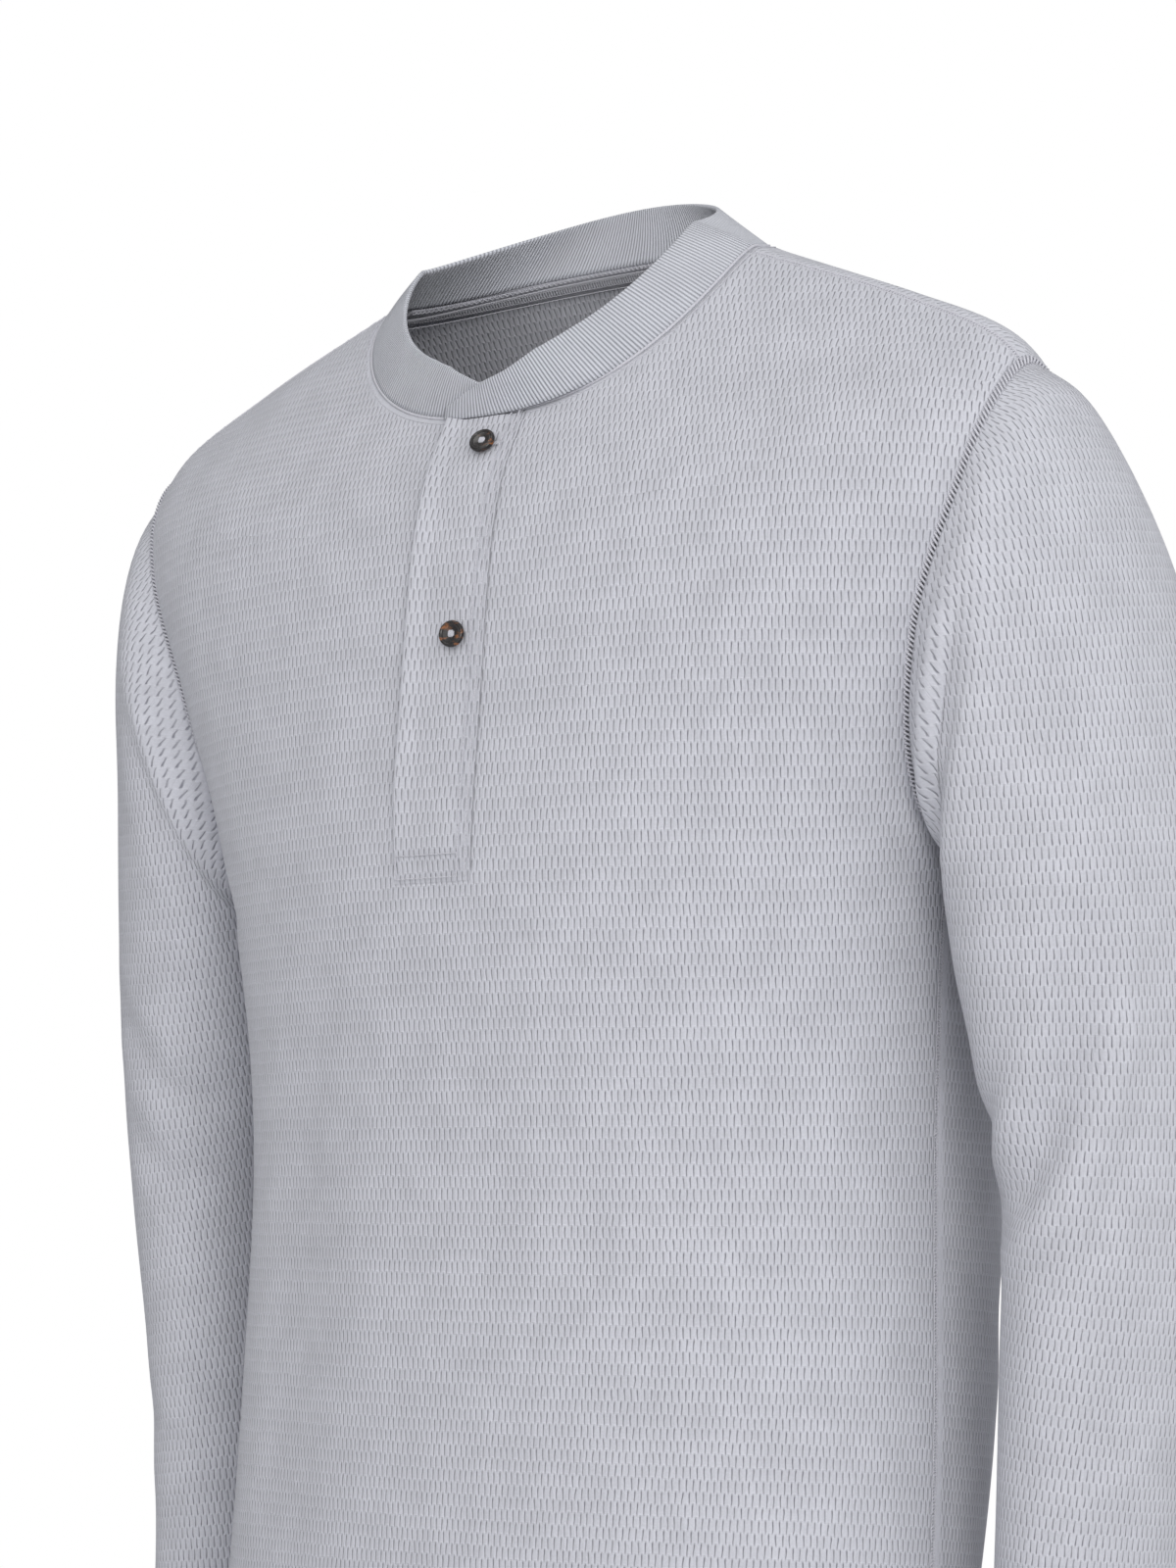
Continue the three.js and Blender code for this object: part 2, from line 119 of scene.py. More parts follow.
# the band's height near its ends: how far across the front, and the share of the full height
OVER_TAPER = ((-24, 0.20), (-11, 0.47), (0, 0.61), (20, 0.74), (41, 0.92), (60, 1.0))
UNDER_TAPER = ((-46, 1.0), (-33, 0.95), (-14, 0.74), (0, 0.55), (20, 0.30))
BAND_TOP = Ring(-50, 10, 39, 74, 50, 66, -13, 2.0, 1.95)

SLEEVE = (
    Section(246, -84, 189, -268, 12, 57, 0),
    Section(265, -130, 190, -279, 20, 60, 5),
    Section(277, -190, 190, -296, 28, 61, 9),
    Section(283, -252, 190, -322, 35, 62, 9),
    Section(284, -322, 195, -356, 41, 60, 8),
    Section(279, -405, 201, -402, 45, 55, 6),
    Section(268, -480, 197, -474, 44, 50, 5),
    Section(259, -550, 194, -545, 40, 45, 3),
    Section(255, -622, 193, -617, 32, 40, 0),
    Section(253, -694, 194, -690, 22, 35, 0),
)
HEM_PER_MM = 1 / (TORSO[1].z_front - TORSO[0].z_front)  # ring positions in a millimetre


# ------------------------------------------------------------------ smooth reading of tables
def between(rows: Array, position: Array) -> Array:
    """Catmull-Rom reading between the rows of a table.

    Args:
        rows: Values, one row for each whole position.
        position: Where to read, any shape.

    Returns:
        Values with the shape of position followed by the shape of one row.
    """
    position = np.asarray(position, float)
    last = len(rows) - 2
    index = np.clip(np.floor(position).astype(int), 0, last)
    spare = (1,) * (rows.ndim - 1)
    t = (position - index).reshape(position.shape + spare)
    low = (index > 0).reshape(position.shape + spare)
    high = (index < last).reshape(position.shape + spare)
    b = rows[index]
    c = rows[index + 1]
    a = np.where(low, rows[np.maximum(index - 1, 0)], 2 * b - c)
    d = np.where(high, rows[np.minimum(index + 2, last + 1)], 2 * c - b)
    square = (2 * a - 5 * b + 4 * c - d) * t * t
    cube = (3 * b - a - 3 * c + d) * t**3
    return 0.5 * (2 * b + (c - a) * t + square + cube)


def smooth(value: Array, low: float, high: float) -> Array:
    """Smoothstep of a value between two limits."""
    t = np.clip((np.asarray(value, float) - low) / (high - low), 0, 1)
    return t * t * (3 - 2 * t)


def unit(vectors: Array) -> Array:
    """Vectors scaled to length one."""
    return vectors / np.maximum(np.linalg.norm(vectors, axis=-1, keepdims=True), 1e-9)


def arc_length(points: Array, axis: int = 0) -> Array:
    """Running length along an axis of a grid of points.

    Args:
        points: Grid or row of points.
        axis: Axis along which the length runs.

    Returns:
        Lengths from the start, one for each point.
    """
    steps = np.linalg.norm(np.diff(points, axis=axis), axis=-1)
    start = np.zeros_like(np.take(steps, [0], axis=axis))
    return np.concatenate([start, np.cumsum(steps, axis=axis)], axis=axis)


# ------------------------------------------------------------------ forms
class Torso:
    """The body of the shirt as one smooth surface from the hem to the neck seam."""

    rings = np.array([astuple(ring) for ring in TORSO])
    heights = 3601  # places at which a height is looked up

    @staticmethod
    def ring_point(ring: Array, angle: Array) -> Array:
        """Point of a squared-off ring.

        Args:
            ring: Ring values, last axis of nine.
            angle: Radians from centre front, growing towards the wearer's left.

        Returns:
            Points in millimetres.
        """
        values = np.moveaxis(ring, -1, 0)
        z_front, z_side, z_back, half_width, front, back, y, square, square_back = values
        across, along = np.sin(angle), np.cos(angle)
        ahead = along >= 0
        power = 2 / np.where(ahead, square, square_back)
        reach = np.abs(along) ** power
        x = half_width * np.sign(across) * np.abs(across) ** power
        deep = np.where(ahead, y - front * reach, y + back * reach)
        end = np.where(ahead, z_front, z_back)
        z = z_side + (end - z_side) * np.abs(along) ** RING_RISE
        return np.stack([x, deep, z], -1)

    def point(self, angle: Array, position: Array) -> Array:
        """Point of the body at an angle and a ring position."""
        angle, position = np.broadcast_arrays(np.asarray(angle, float), np.asarray(position, float))
        return self.ring_point(between(self.rings, position), angle)

    def normal(self, angle: Array, position: Array) -> Array:
        """Outward unit normal of the body.

        Args:
            angle: Radians from centre front.
            position: Ring position.

        Returns:
            Unit vectors.
        """
        step = 0.002
        around = self.point(angle + step, position) - self.point(angle - step, position)
        up = self.point(angle, position + step) - self.point(angle, position - step)
        return unit(np.cross(around, up))

    def angle_at_x(self, x: float, position: Array) -> Array:
        """Angle of the point at a distance x from the middle of the front."""
        values = between(self.rings, position)
        return np.sign(x) * np.arcsin((abs(x) / values[..., 3]) ** (values[..., 7] / 2))

    def position_at(self, height: float) -> float:
        """Ring position at a height up the centre front.

        Args:
            height: Millimetres above the origin.

        Returns:
            The ring position.
        """
        places = np.linspace(0, NECK, self.heights)
        heights = self.point(np.zeros_like(places), places)[:, 2]
        return float(np.interp(height, heights, places))


@dataclass(frozen=True)
class Armhole:
    """The left armhole, a loop on the body between two ring positions."""

    pit: float = 4.03
    top: float = 6.8
    front: float = 21.5
    back: float = 24.0

    @property
    def middle(self) -> float:
        """Ring position halfway up the armhole."""
        return (self.pit + self.top) / 2

    @property
    def half(self) -> float:
        """Half the span of ring positions."""
        return (self.top - self.pit) / 2

    def edge(self, position: Array, is_back: Array) -> Array:
        """Angle in radians of the edge of the front or back panel.

        Args:
            position: Ring positions.
            is_back: Whether the back panel is meant.

        Returns:
            Angles from centre front.
        """
        place = np.clip((np.asarray(position, float) - self.middle) / self.half, -1, 1)
        seam = SIDE_SEAM + (SHOULDER_SEAM - SIDE_SEAM) * (place + 1) / 2
        bite = np.sqrt(np.maximum(0, 1 - place * place))
        turned = np.where(is_back, seam + self.back * bite, seam - self.front * bite)
        return np.radians(turned)

    def around(self, turn: Array) -> tuple[Array, Array]:
        """Angle and ring position of the loop: 0 at the shoulder, 90 in front, 180 at the pit.

        Args:
            turn: Degrees about the armhole.

        Returns:
            Angles in radians, and ring positions.
        """
        turn = np.asarray(turn, float) % 360
        position = self.middle + self.half * np.cos(np.radians(turn))
        return self.edge(position, turn > 180), position


class SleeveForm:
    """The left sleeve, lofted from the armhole through its sections."""

    sections = np.array([astuple(section) for section in SLEEVE])
    step_in = 0.35  # clear of the panels at the armhole
    lift = 0.1

    def __init__(self, torso: Torso, armhole: Armhole) -> None:
        """Keeps the body and the armhole that the sleeve is set into."""
        self.torso = torso
        self.armhole = armhole

    @property
    def length(self) -> int:
        """Position of the cuff, counted from the armhole at 0."""
        return len(self.sections)

    def start(self, turn: Array) -> Array:
        """First ring of the sleeve, just inside and above the edge of the armhole.

        Args:
            turn: Degrees about the armhole.

        Returns:
            Points in millimetres.
        """
        angle, position = self.armhole.around(turn)
        point, normal = self.torso.point(angle, position), self.torso.normal(angle, position)
        middle = self.torso.point(*self.armhole.around(np.array(CORNERS))).mean(axis=0)
        inward = middle - point
        inward = unit(inward - normal * (inward * normal).sum(-1, keepdims=True))
        return point + normal * self.lift + inward * self.step_in

    def stations(self, turn: Array) -> Array:
        """Points of every section at the given turns.

        Args:
            turn: Degrees about the sleeve.

        Returns:
            Points, one row for each section.
        """
        outer_x, outer_z, inner_x, inner_z, y, depth, swing = self.sections.T[:, :, None]
        outward = np.cos(np.radians(turn))[None]
        forward = np.sin(np.radians(turn))[None] * depth
        swing = np.radians(swing)
        x = (outer_x + inner_x) / 2 + outward * (outer_x - inner_x) / 2 - forward * np.sin(swing)
        z = (outer_z + inner_z) / 2 + outward * (outer_z - inner_z) / 2
        rings = np.stack([x, y - forward * np.cos(swing), z], -1)
        return np.concatenate([self.start(turn)[None], rings])

    def grid(self, turn: Array, length: Array) -> Array:
        """Grid of points, one row for each length and one column for each turn."""
        return between(self.stations(turn), length)

    def point(self, turn: float, length: float) -> Array:
        """One point of the sleeve."""
        return self.grid(np.array([turn]), np.array([length]))[0, 0]


class BandForm:
    """The rib band, which leans in from the neck seam to its free edge."""

    under_end = 12.0  # degrees past centre front
    over_end = -10.0
    height = 27.5
    lap_lift = RIB + GAP + 0.8
    lap_fade = (22.0, 48.0)  # degrees from the over end in which the lift fades

    def __init__(self, torso: Torso) -> None:
        """Keeps the body that the band stands on."""
        self.torso = torso
        self.top = np.array(astuple(BAND_TOP))

    def surface(self, angle: Array, share: Array) -> Array:
        """Outer point of the band at an angle and a share of its height.

        Args:
            angle: Radians from centre front.
            share: Share of the full height.

        Returns:
            Points in millimetres.
        """
        foot = self.torso.point(angle, np.full_like(angle, NECK))
        head = self.torso.ring_point(np.broadcast_to(self.top, angle.shape + (9,)), angle)
        out = np.stack([np.sin(angle), -np.cos(angle), np.zeros_like(angle)], -1)
        bulge = np.sin(np.pi * np.clip(share, 0, 1))[..., None]
        return foot + (head - foot) * share[..., None] + out * bulge

    def normal(self, angle: Array, share: Array) -> Array:
        """Outward unit normal of the band.

        Args:
            angle: Radians from centre front.
            share: Share of the full height.

        Returns:
            Unit vectors.
        """
        turn, step = 0.004, 0.02
        around = self.surface(angle + turn, share) - self.surface(angle - turn, share)
        up = self.surface(angle, share + step) - self.surface(angle, share - step)
        return unit(np.cross(around, up))

    def taper(self, degrees: Array) -> Array:
        """Share of the full height that the band keeps near its two ends.

        Args:
            degrees: Degrees from centre front, below 0 past the over end.

        Returns:
            Shares of the full height.
        """
        x = self.torso.point(np.radians(degrees), np.full_like(degrees, NECK))[..., 0]
        over = np.interp(x, *zip(*OVER_TAPER))
        under = np.interp(x, *zip(*UNDER_TAPER))
        near_over = degrees < self.over_end - 270
        near_under = degrees > -90
        return np.where(near_over, over, np.where(near_under, under, 1.0))

    def lap(self, degrees: Array) -> Array:
        """How far the over end is lifted clear of the under end."""
        from_end = degrees - (self.over_end - 360)
        return np.where(degrees < -180, 1 - smooth(from_end, *self.lap_fade), 0.0) * self.lap_lift


# ------------------------------------------------------------------ drape
class Fold(Enum):
    """How a crease is shaped across its length."""

    TROUGH = "trough"
    RIDGE = "ridge"


@dataclass(frozen=True)
class Crease:
    """A soft crease along a line of points, deepest in its middle."""

    line: tuple[Triple, ...]
    width: float
    depth: float
    fold: Fold = Fold.TROUGH

    samples = 12  # along each stretch of the line
    bank, bank_place, bank_spread = 0.3, 2.0, 0.8  # soft banks beside the crease, in its widths
    end_ease = 0.08

    def shift(self, points: Array) -> Array:
        """How far each point moves out along its normal.

        Args:
            points: Grid of points.

        Returns:
            Millimetres, below 0 in a trough.
        """
        spots = np.array(self.line)
        stretch = np.linspace(0, len(spots) - 1, self.samples * (len(spots) - 1) + 1)
        path = between(spots, stretch)
        flat = points.reshape(-1, 3)
        reach = 4 * self.width
        near = np.all((flat > path.min(0) - reach) & (flat < path.max(0) + reach), axis=1)
        shift = np.zeros(len(flat))
        if not near.any():
            return shift.reshape(points.shape[:-1])
        gap = np.linalg.norm(flat[near][:, None] - path[None], axis=-1)
        nearest = gap.argmin(axis=1)
        distance = gap[np.arange(len(gap)), nearest] / self.width
        share = stretch[nearest] / (len(spots) - 1)
        inner = np.clip(self.end_ease + (1 - 2 * self.end_ease) * share, 0, 1)
        taper = np.sin(np.pi * inner) ** 0.8
        middle = np.exp(-(distance**2))
        banks = self.bank * np.exp(-((distance - self.bank_place) ** 2) / self.bank_spread)
        sign = 1.0 if self.fold is Fold.RIDGE else -1.0
        shift[near] = sign * self.depth * taper * (middle - banks)
        return shift.reshape(points.shape[:-1])


class Drape:
    """The soft, uneven relief that every cloth piece of the shirt shares."""

    calm_reach = 12.0  # the relief fades out this close to a seam
    groove, groove_width = 0.3, 1.3  # the cloth dips at the seam itself
    welt, welt_place, welt_width = 0.15, 3.2, 1.6  # and stands up beside it
    block = 2000  # points whose distances are worked out at once

    def __init__(self, creases: Sequence[Crease], seams: Mapping[str, Sequence[Array]]) -> None:
        """Takes the creases, and the seam lines along which the cloth dips."""
        self.creases = list(creases)
        self.seams = seams

    @staticmethod
    def waves(points: Array) -> Array:
        """Slow waves a fraction of a millimetre high, as in cloth that hangs."""
        x, y, z = np.moveaxis(points, -1, 0)
        slow = np.sin(x / 31 + z / 83 + 0.7) * np.sin(z / 57 - y / 41 + 1.9)
        slower = np.sin(x / 17.5 - y / 23 + z / 140 + 2.4)
        return 0.55 * slow + 0.28 * slower

    @staticmethod
    def distance(points: Array, lines: Sequence[Array], reach: float = 14.0) -> Array:
        """Distance of each point to the nearest of some lines, up to a reach.

        Args:
            points: Grid of points.
            lines: Points along each line.
            reach: Largest distance looked for.

        Returns:
            Distances in millimetres.
        """
        flat = points.reshape(-1, 3)
        nearest = np.full(len(flat), reach)
        for line in lines:
            inside = np.all((flat > line.min(0) - reach) & (flat < line.max(0) + reach), axis=1)
            spots = np.nonzero(inside)[0]
            for block in np.array_split(spots, max(1, len(spots) // Drape.block)):
                if len(block):
                    gap = np.linalg.norm(flat[block][:, None] - line[None], axis=-1).min(axis=1)
                    nearest[block] = np.minimum(nearest[block], gap)
        return nearest.reshape(points.shape[:-1])

    @staticmethod
    def pressed(gaps: Mapping[str, Array], widths: Mapping[str, float]) -> Array:
        """Where the seams press the knit smooth.

        Args:
            gaps: Distance of each point to each kind of seam.
            widths: How far from each kind of seam the cloth is smooth.

        Returns:
            One on the smooth welts and zero on the open knit.
        """
        welts = [1 - smooth(gaps[name], width - 0.5, width + 1.3) for name, width in widths.items()]
        return np.max(welts, axis=0)

    def apply(self, points: Array, normals: Array) -> tuple[Array, dict[str, Array]]:
        """Relief of a grid of points.

        Args:
            points: Grid of points on the form.
            normals: Outward normals at those points.

        Returns:
            The moved points, and the distance of each to each kind of seam.
        """
        shift = self.waves(points)
        for crease in self.creases:
            shift = shift + crease.shift(points)
        gaps = {name: self.distance(points, lines) for name, lines in self.seams.items()}
        nearest = np.min(list(gaps.values()), axis=0)
        calm = smooth(nearest, 0, self.calm_reach)
        dip = -self.groove * np.exp(-((nearest / self.groove_width) ** 2))
        dip = dip + self.welt * np.exp(-(((nearest - self.welt_place) / self.welt_width) ** 2))
        return points + normals * (shift * calm + dip)[..., None], gaps


# ------------------------------------------------------------------ the cut
class Cut:
    """Flattens a grid of cloth, to find the shape it was cut to and the run of its grain."""

    sweeps = 260
    hurry = 1.6  # how far each sweep overshoots, to settle sooner
    stages = (9, 18, 36, 72)  # columns eased at each stage, coarse to fine

    def __init__(self, points: Array, is_level_last: bool = False) -> None:
        """Takes a grid of points whose first or last row is cut nearly straight."""
        self.points = points
        self.is_level_last = is_level_last

    def _relax(self, points: Array, flat: Array) -> Array:
        """Moves flat points until their distances match those of the cloth.

        Args:
            points: Grid of the cloth as it hangs.
            flat: First guess of its flat shape.

        Returns:
            The eased flat shape.
        """
        whole, first, second = slice(None), slice(0, -1), slice(1, None)
        pairs = (((whole, first), (whole, second)), ((first, whole), (second, whole)),
                 ((first, first), (second, second)), ((first, second), (second, first)))
        links = [(a, b, np.linalg.norm(points[a] - points[b], axis=-1, keepdims=True))
                 for a, b in pairs]
        count = np.zeros((*points.shape[:2], 1))
        for a, b, _ in links:
            count[a] += 1
            count[b] += 1
        for _ in range(self.sweeps):
            push = np.zeros_like(flat)
            for a, b, rest in links:
                apart = flat[a] - flat[b]
                length = np.maximum(np.linalg.norm(apart, axis=-1, keepdims=True), 1e-6)
                move = apart * (0.5 * (rest - length) / length)
                push[a] += move
                push[b] -= move
            flat = flat + self.hurry * push / count
        return flat

    def flatten(self) -> Array:
        """Flat place of every grid point, with the grain along the second coordinate."""
        rows, columns = self.points.shape[:2]
        across = arc_length(self.points, axis=1)
        middle = columns // 2
        across = across - across[:, [middle]]
        along = self.down = arc_length(self.points, axis=0)
        if self.is_level_last:
            along = along - along[-1] + along[-1, middle]
        flat = np.stack([across, along], -1)
        mean_run = self.down.mean(axis=1)
        for count in self.stages:
            even = np.linspace(0, mean_run[-1], min(rows, 2 * count))
            row_index = np.unique(np.searchsorted(mean_run, even - 1e-6).clip(0, rows - 1))
            columns_even = np.linspace(0, columns - 1, min(columns, count))
            column_index = np.unique(columns_even.round().astype(int))
            part = np.ix_(row_index, column_index)
            eased = self._relax(self.points[part], flat[part])
            flat = self._spread(eased - flat[part], row_index, column_index) + flat
        spine = flat[-1, middle] - flat[0, middle]
        lean = math.atan2(spine[0], spine[1])
        cosine, sine = math.cos(lean), math.sin(lean)
        turned = flat @ np.array([[cosine, sine], [-sine, cosine]])
        return turned - turned[0, middle]

    @staticmethod
    def with_cap(points: Array, cap_rows: int) -> Array:
        """Flattens a sleeve: its arm as any cloth, and its cap with the wales run straight on.

        Args:
            points: Grid of the sleeve, from its cap down.
            cap_rows: Rows of the cap.

        Returns:
            Flat place of every grid point.
        """
        arm = Cut(points[cap_rows:], is_level_last=True).flatten()
        run = arc_length(points[: cap_rows + 1], axis=0)
        rise = run[:-1] - run[-1]
        cap = arm[0] + np.stack([0 * rise, rise], -1)
        return np.concatenate([cap, arm])

    def _spread(self, change: Array, row_index: Array, column_index: Array) -> Array:
        """A change known on some rows and columns, carried to all of them along the cloth.

        Args:
            change: Change at the chosen rows and columns.
            row_index: Chosen rows.
            column_index: Chosen columns.

        Returns:
            The change at every grid point.
        """
        rows, columns = self.points.shape[:2]
        wide = np.empty((len(row_index), columns, 2))
        full = np.empty((rows, columns, 2))
        for axis in (0, 1):
            for line, row in enumerate(change[..., axis]):
                wide[line, :, axis] = np.interp(np.arange(columns), column_index, row)
            for column in range(columns):
                spots = self.down[:, column]
                full[:, column, axis] = np.interp(spots, spots[row_index], wide[:, column, axis])
        return full

    @staticmethod
    def size(flat: Array, keep: Array | None = None) -> Triple:
        """Width, length and area of a flat grid, in metres and square metres.

        Args:
            flat: Flat place of every grid point.
            keep: Which cells are cloth.

        Returns:
            Width, length and area.
        """
        width = float(np.ptp(flat[..., 0])) * MM
        length = float(np.ptp(flat[..., 1])) * MM
        p, q = flat[1:, 1:] - flat[:-1, :-1], flat[1:, :-1] - flat[:-1, 1:]
        cells = 0.5 * np.abs(p[..., 0] * q[..., 1] - p[..., 1] * q[..., 0])
        area = (cells if keep is None else cells * keep).sum() * MM * MM
        return width, length, float(area)


# ------------------------------------------------------------------ meshes
def start_grid(rows: int, columns: int) -> tuple[bmesh.types.BMesh, Array, Array]:
    """Starts a mesh as a flat grid.

    Returns:
        The bmesh, and the row and the column of each of its vertices.
    """
    mesh_data = bmesh.new()
    bmesh.ops.create_grid(mesh_data, x_segments=columns - 1, y_segments=rows - 1, size=1.0)
    mesh_data.verts.index_update()
    raw = np.array([vertex.co[:2] for vertex in mesh_data.verts])
    column, row = ((raw + 1) / 2 * (columns - 1, rows - 1)).round().astype(int).T
    return mesh_data, row, column


def link(name: str, data: bpy.types.ID) -> bpy.types.Object:
    """Makes an object of some data and links it to the scene."""
    item = bpy.data.objects.new(name, data)
    bpy.context.scene.collection.objects.link(item)
    return item


@dataclass
class Cloth:
    """A grid of cloth ready to become a mesh."""

    points: Array
    grain: Array
    welt: Array | None = None
    keep: Array | None = None
    is_loop: bool = False

    def build(self, name: str) -> bpy.types.Object:
        """Makes the object from a bmesh grid.

        Args:
            name: Name of the new object.

        Returns:
            The object, linked to the scene, with a grain UV map and a welt attribute.
        """
        mesh_data, row, column = start_grid(*self.points.shape[:2])
        places = self.points[row, column] * MM
        grain = self.grain[row, column]
        welt = np.zeros(len(row)) if self.welt is None else self.welt[row, column]
        uv_layer = mesh_data.loops.layers.uv.new("grain")
        welt_layer = mesh_data.verts.layers.float.new("welt")
        for vertex, place, amount in zip(mesh_data.verts, places, welt):
            vertex.co = place
            vertex[welt_layer] = amount
        drop = []
        for face in mesh_data.faces:
            for loop in face.loops:
                loop[uv_layer].uv = grain[loop.vert.index]
            if self.keep is not None:
                corner_row = min(row[vertex.index] for vertex in face.verts)
                corner_column = min(column[vertex.index] for vertex in face.verts)
                if not self.keep[corner_row, corner_column]:
                    drop.append(face)
        if drop:
            bmesh.ops.delete(mesh_data, geom=drop, context="FACES")
        if self.is_loop:
            bmesh.ops.remove_doubles(mesh_data, verts=mesh_data.verts, dist=1e-6)
            rims = [edge for edge in mesh_data.edges if edge.is_boundary]
            bmesh.ops.holes_fill(mesh_data, edges=rims, sides=0)
            bmesh.ops.recalc_face_normals(mesh_data, faces=mesh_data.faces)
        return finish_mesh(name, mesh_data)


def finish_mesh(name: str, mesh_data: bmesh.types.BMesh,
                is_smooth: bool = True) -> bpy.types.Object:
    """Turns a bmesh into a linked object.

    Args:
        name: Name of the object and its mesh.
        mesh_data: The bmesh, which is freed.
        is_smooth: Whether its faces are shaded smooth.

    Returns:
        The new object.
    """
    mesh = bpy.data.meshes.new(name)
    mesh_data.to_mesh(mesh)
    mesh_data.free()
    mesh.polygons.foreach_set("use_smooth", [is_smooth] * len(mesh.polygons))
    return link(name, mesh)


def add_wall(piece: bpy.types.Object, thickness: float) -> None:
    """Gives a sheet its wall, inwards from its outer face.

    Args:
        piece: The sheet.
        thickness: Millimetres.
    """
    wall = piece.modifiers.new("Wall", "SOLIDIFY")
    wall.thickness = thickness * MM
    wall.offset = -1.0
    wall.use_even_offset = False
    wall.use_rim = True


class Stitch(Enum):
    """How a thread runs along a seam."""

    RUNNING = "running"
    CHAIN = "chain"
    ZIGZAG = "zigzag"
    SLANT = "slant"


@dataclass(frozen=True)
class Thread:
    """A sewing thread laid along a line on the cloth."""

    kind: Stitch
    pitch: float
    radius: float = 0.3
    reach: float = 1.5  # half width of the seam
    lift: float = 0.1
    phase: float = 0.0

    overlap = 1.2  # how far a slanted stitch runs on, in pitches
    shown = 0.62  # share of a slanted stitch that lies on top
    samples = {Stitch.RUNNING: 7, Stitch.CHAIN: 7, Stitch.ZIGZAG: 6, Stitch.SLANT: 8}

    def _motion(self, beat: Array) -> tuple[Array, Array, Array]:
        """How far the thread runs on, sways and rises at each beat of its stitch."""
        turn = beat % 1
        if self.kind is Stitch.RUNNING:
            return 0 * beat, 0 * beat, 1.5 * np.abs(np.sin(np.pi * beat)) ** 0.6 - 1.1
        if self.kind is Stitch.CHAIN:
            swing = np.cos(2 * np.pi * beat)
            return 0.55 * swing, np.sin(2 * np.pi * beat), 0.5 * swing
        if self.kind is Stitch.ZIGZAG:
            wave = 2 * np.abs(2 * turn - 1) - 1
            return 0 * beat, wave, 0.5 - 1.2 * np.abs(wave) ** 4
        over = np.clip(turn / self.shown, 0, 1)
        back = np.clip((turn - self.shown) / (1 - self.shown), 0, 1)
        across = 2 * (over - back) - 1
        ends = np.abs(across) ** 6
        buried = np.where(turn < self.shown, -1.4 * ends, -3.2 + 1.8 * ends)
        return self.overlap * (over - back) - turn, across, 0.4 + buried

    def centre_line(self, path: Array, normals: Array) -> Array:
        """Run of the thread's middle along a path.

        Args:
            path: Points on the cloth, in order.
            normals: Outward normals at those points.

        Returns:
            Points of the thread, a few for each stitch.
        """
        run = arc_length(path)
        total = run[-1]
        count = max(2, round(total / self.pitch))
        beat = np.linspace(0, count, count * self.samples[self.kind] + 1) + self.phase
        ahead, across, rise = self._motion(beat)
        spots = np.clip((beat - self.phase + ahead) / count * total, 0, total)
        place, out, along = (np.stack([np.interp(spots, run, column) for column in values.T], -1)
                             for values in (path, normals, np.gradient(path, axis=0)))
        out = unit(out)
        side = np.cross(out, unit(along))
        upward = out * (self.lift + self.radius * rise)[:, None]
        return place + upward + side * (self.reach * across)[:, None]


class ThreadBasket:
    """Gathers threads and makes one piece of them."""

    sides = 5

    def __init__(self) -> None:
        """Starts with no threads."""
        self.mesh_data = bmesh.new()

    def lay(self, thread: Thread, path: Array, normals: Array) -> None:
        """Lays one thread along a path on the cloth."""
        self.tube(thread.centre_line(path, normals), thread.radius)

    def lay_pair(self, thread: Thread, path: Array, normals: Array) -> None:
        """Lays a thread twice, the second half a stitch behind the first."""
        for phase in (0.0, 0.5):
            self.lay(replace(thread, phase=phase), path, normals)

    def tube(self, centre: Array, radius: float) -> None:
        """Adds a closed round tube along a line of points.

        Args:
            centre: Points along the middle.
            radius: Millimetres.
        """
        ahead = unit(np.gradient(centre, axis=0))
        across = self._carried_across(ahead)
        upward = np.cross(ahead, across)
        turn = np.linspace(0, 2 * np.pi, self.sides + 1)[:-1][None, :, None]
        ring = np.cos(turn) * across[:, None] + np.sin(turn) * upward[:, None]
        places = (centre[:, None] + radius * ring) * MM
        part, row, column = start_grid(len(centre), self.sides + 1)
        for vertex, place in zip(part.verts, places[row, column % self.sides]):
            vertex.co = place
        twins = [vertex for vertex, spot in zip(part.verts, column) if spot in (0, self.sides)]
        bmesh.ops.remove_doubles(part, verts=twins, dist=1e-7)
        ends = [edge for edge in part.edges if edge.is_boundary]
        bmesh.ops.holes_fill(part, edges=ends, sides=0)
        bmesh.ops.recalc_face_normals(part, faces=part.faces)
        carrier = bpy.data.meshes.new("carrier")
        part.to_mesh(carrier)
        part.free()
        self.mesh_data.from_mesh(carrier)
        bpy.data.meshes.remove(carrier)

    @staticmethod
    def _carried_across(ahead: Array) -> Array:
        """A side direction carried along a line with as little twist as can be."""
        across = np.empty_like(ahead)
        side = np.cross(ahead[0], (0.31, 0.47, 0.82))
        for index, heading in enumerate(ahead):
            side = side - heading * side.dot(heading)
            side = side / max(float(np.linalg.norm(side)), 1e-6)
            across[index] = side
        return across

    def build(self, name: str) -> bpy.types.Object:
        """Makes the object that holds every thread laid so far."""
        return finish_mesh(name, self.mesh_data)


# ------------------------------------------------------------------ colours and materials
def linear(red: int, green: int, blue: int) -> tuple[float, float, float, float]:
    """Scene-linear colour of a display colour given in steps of 255.

    Args:
        red, green, blue: Steps of 255.

    Returns:
        The colour, with an alpha of one.
    """
    steps = (red / 255, green / 255, blue / 255)
    values = [s / 12.92 if s <= 0.04045 else ((s + 0.055) / 1.055) ** 2.4 for s in steps]
    return (*values, 1.0)


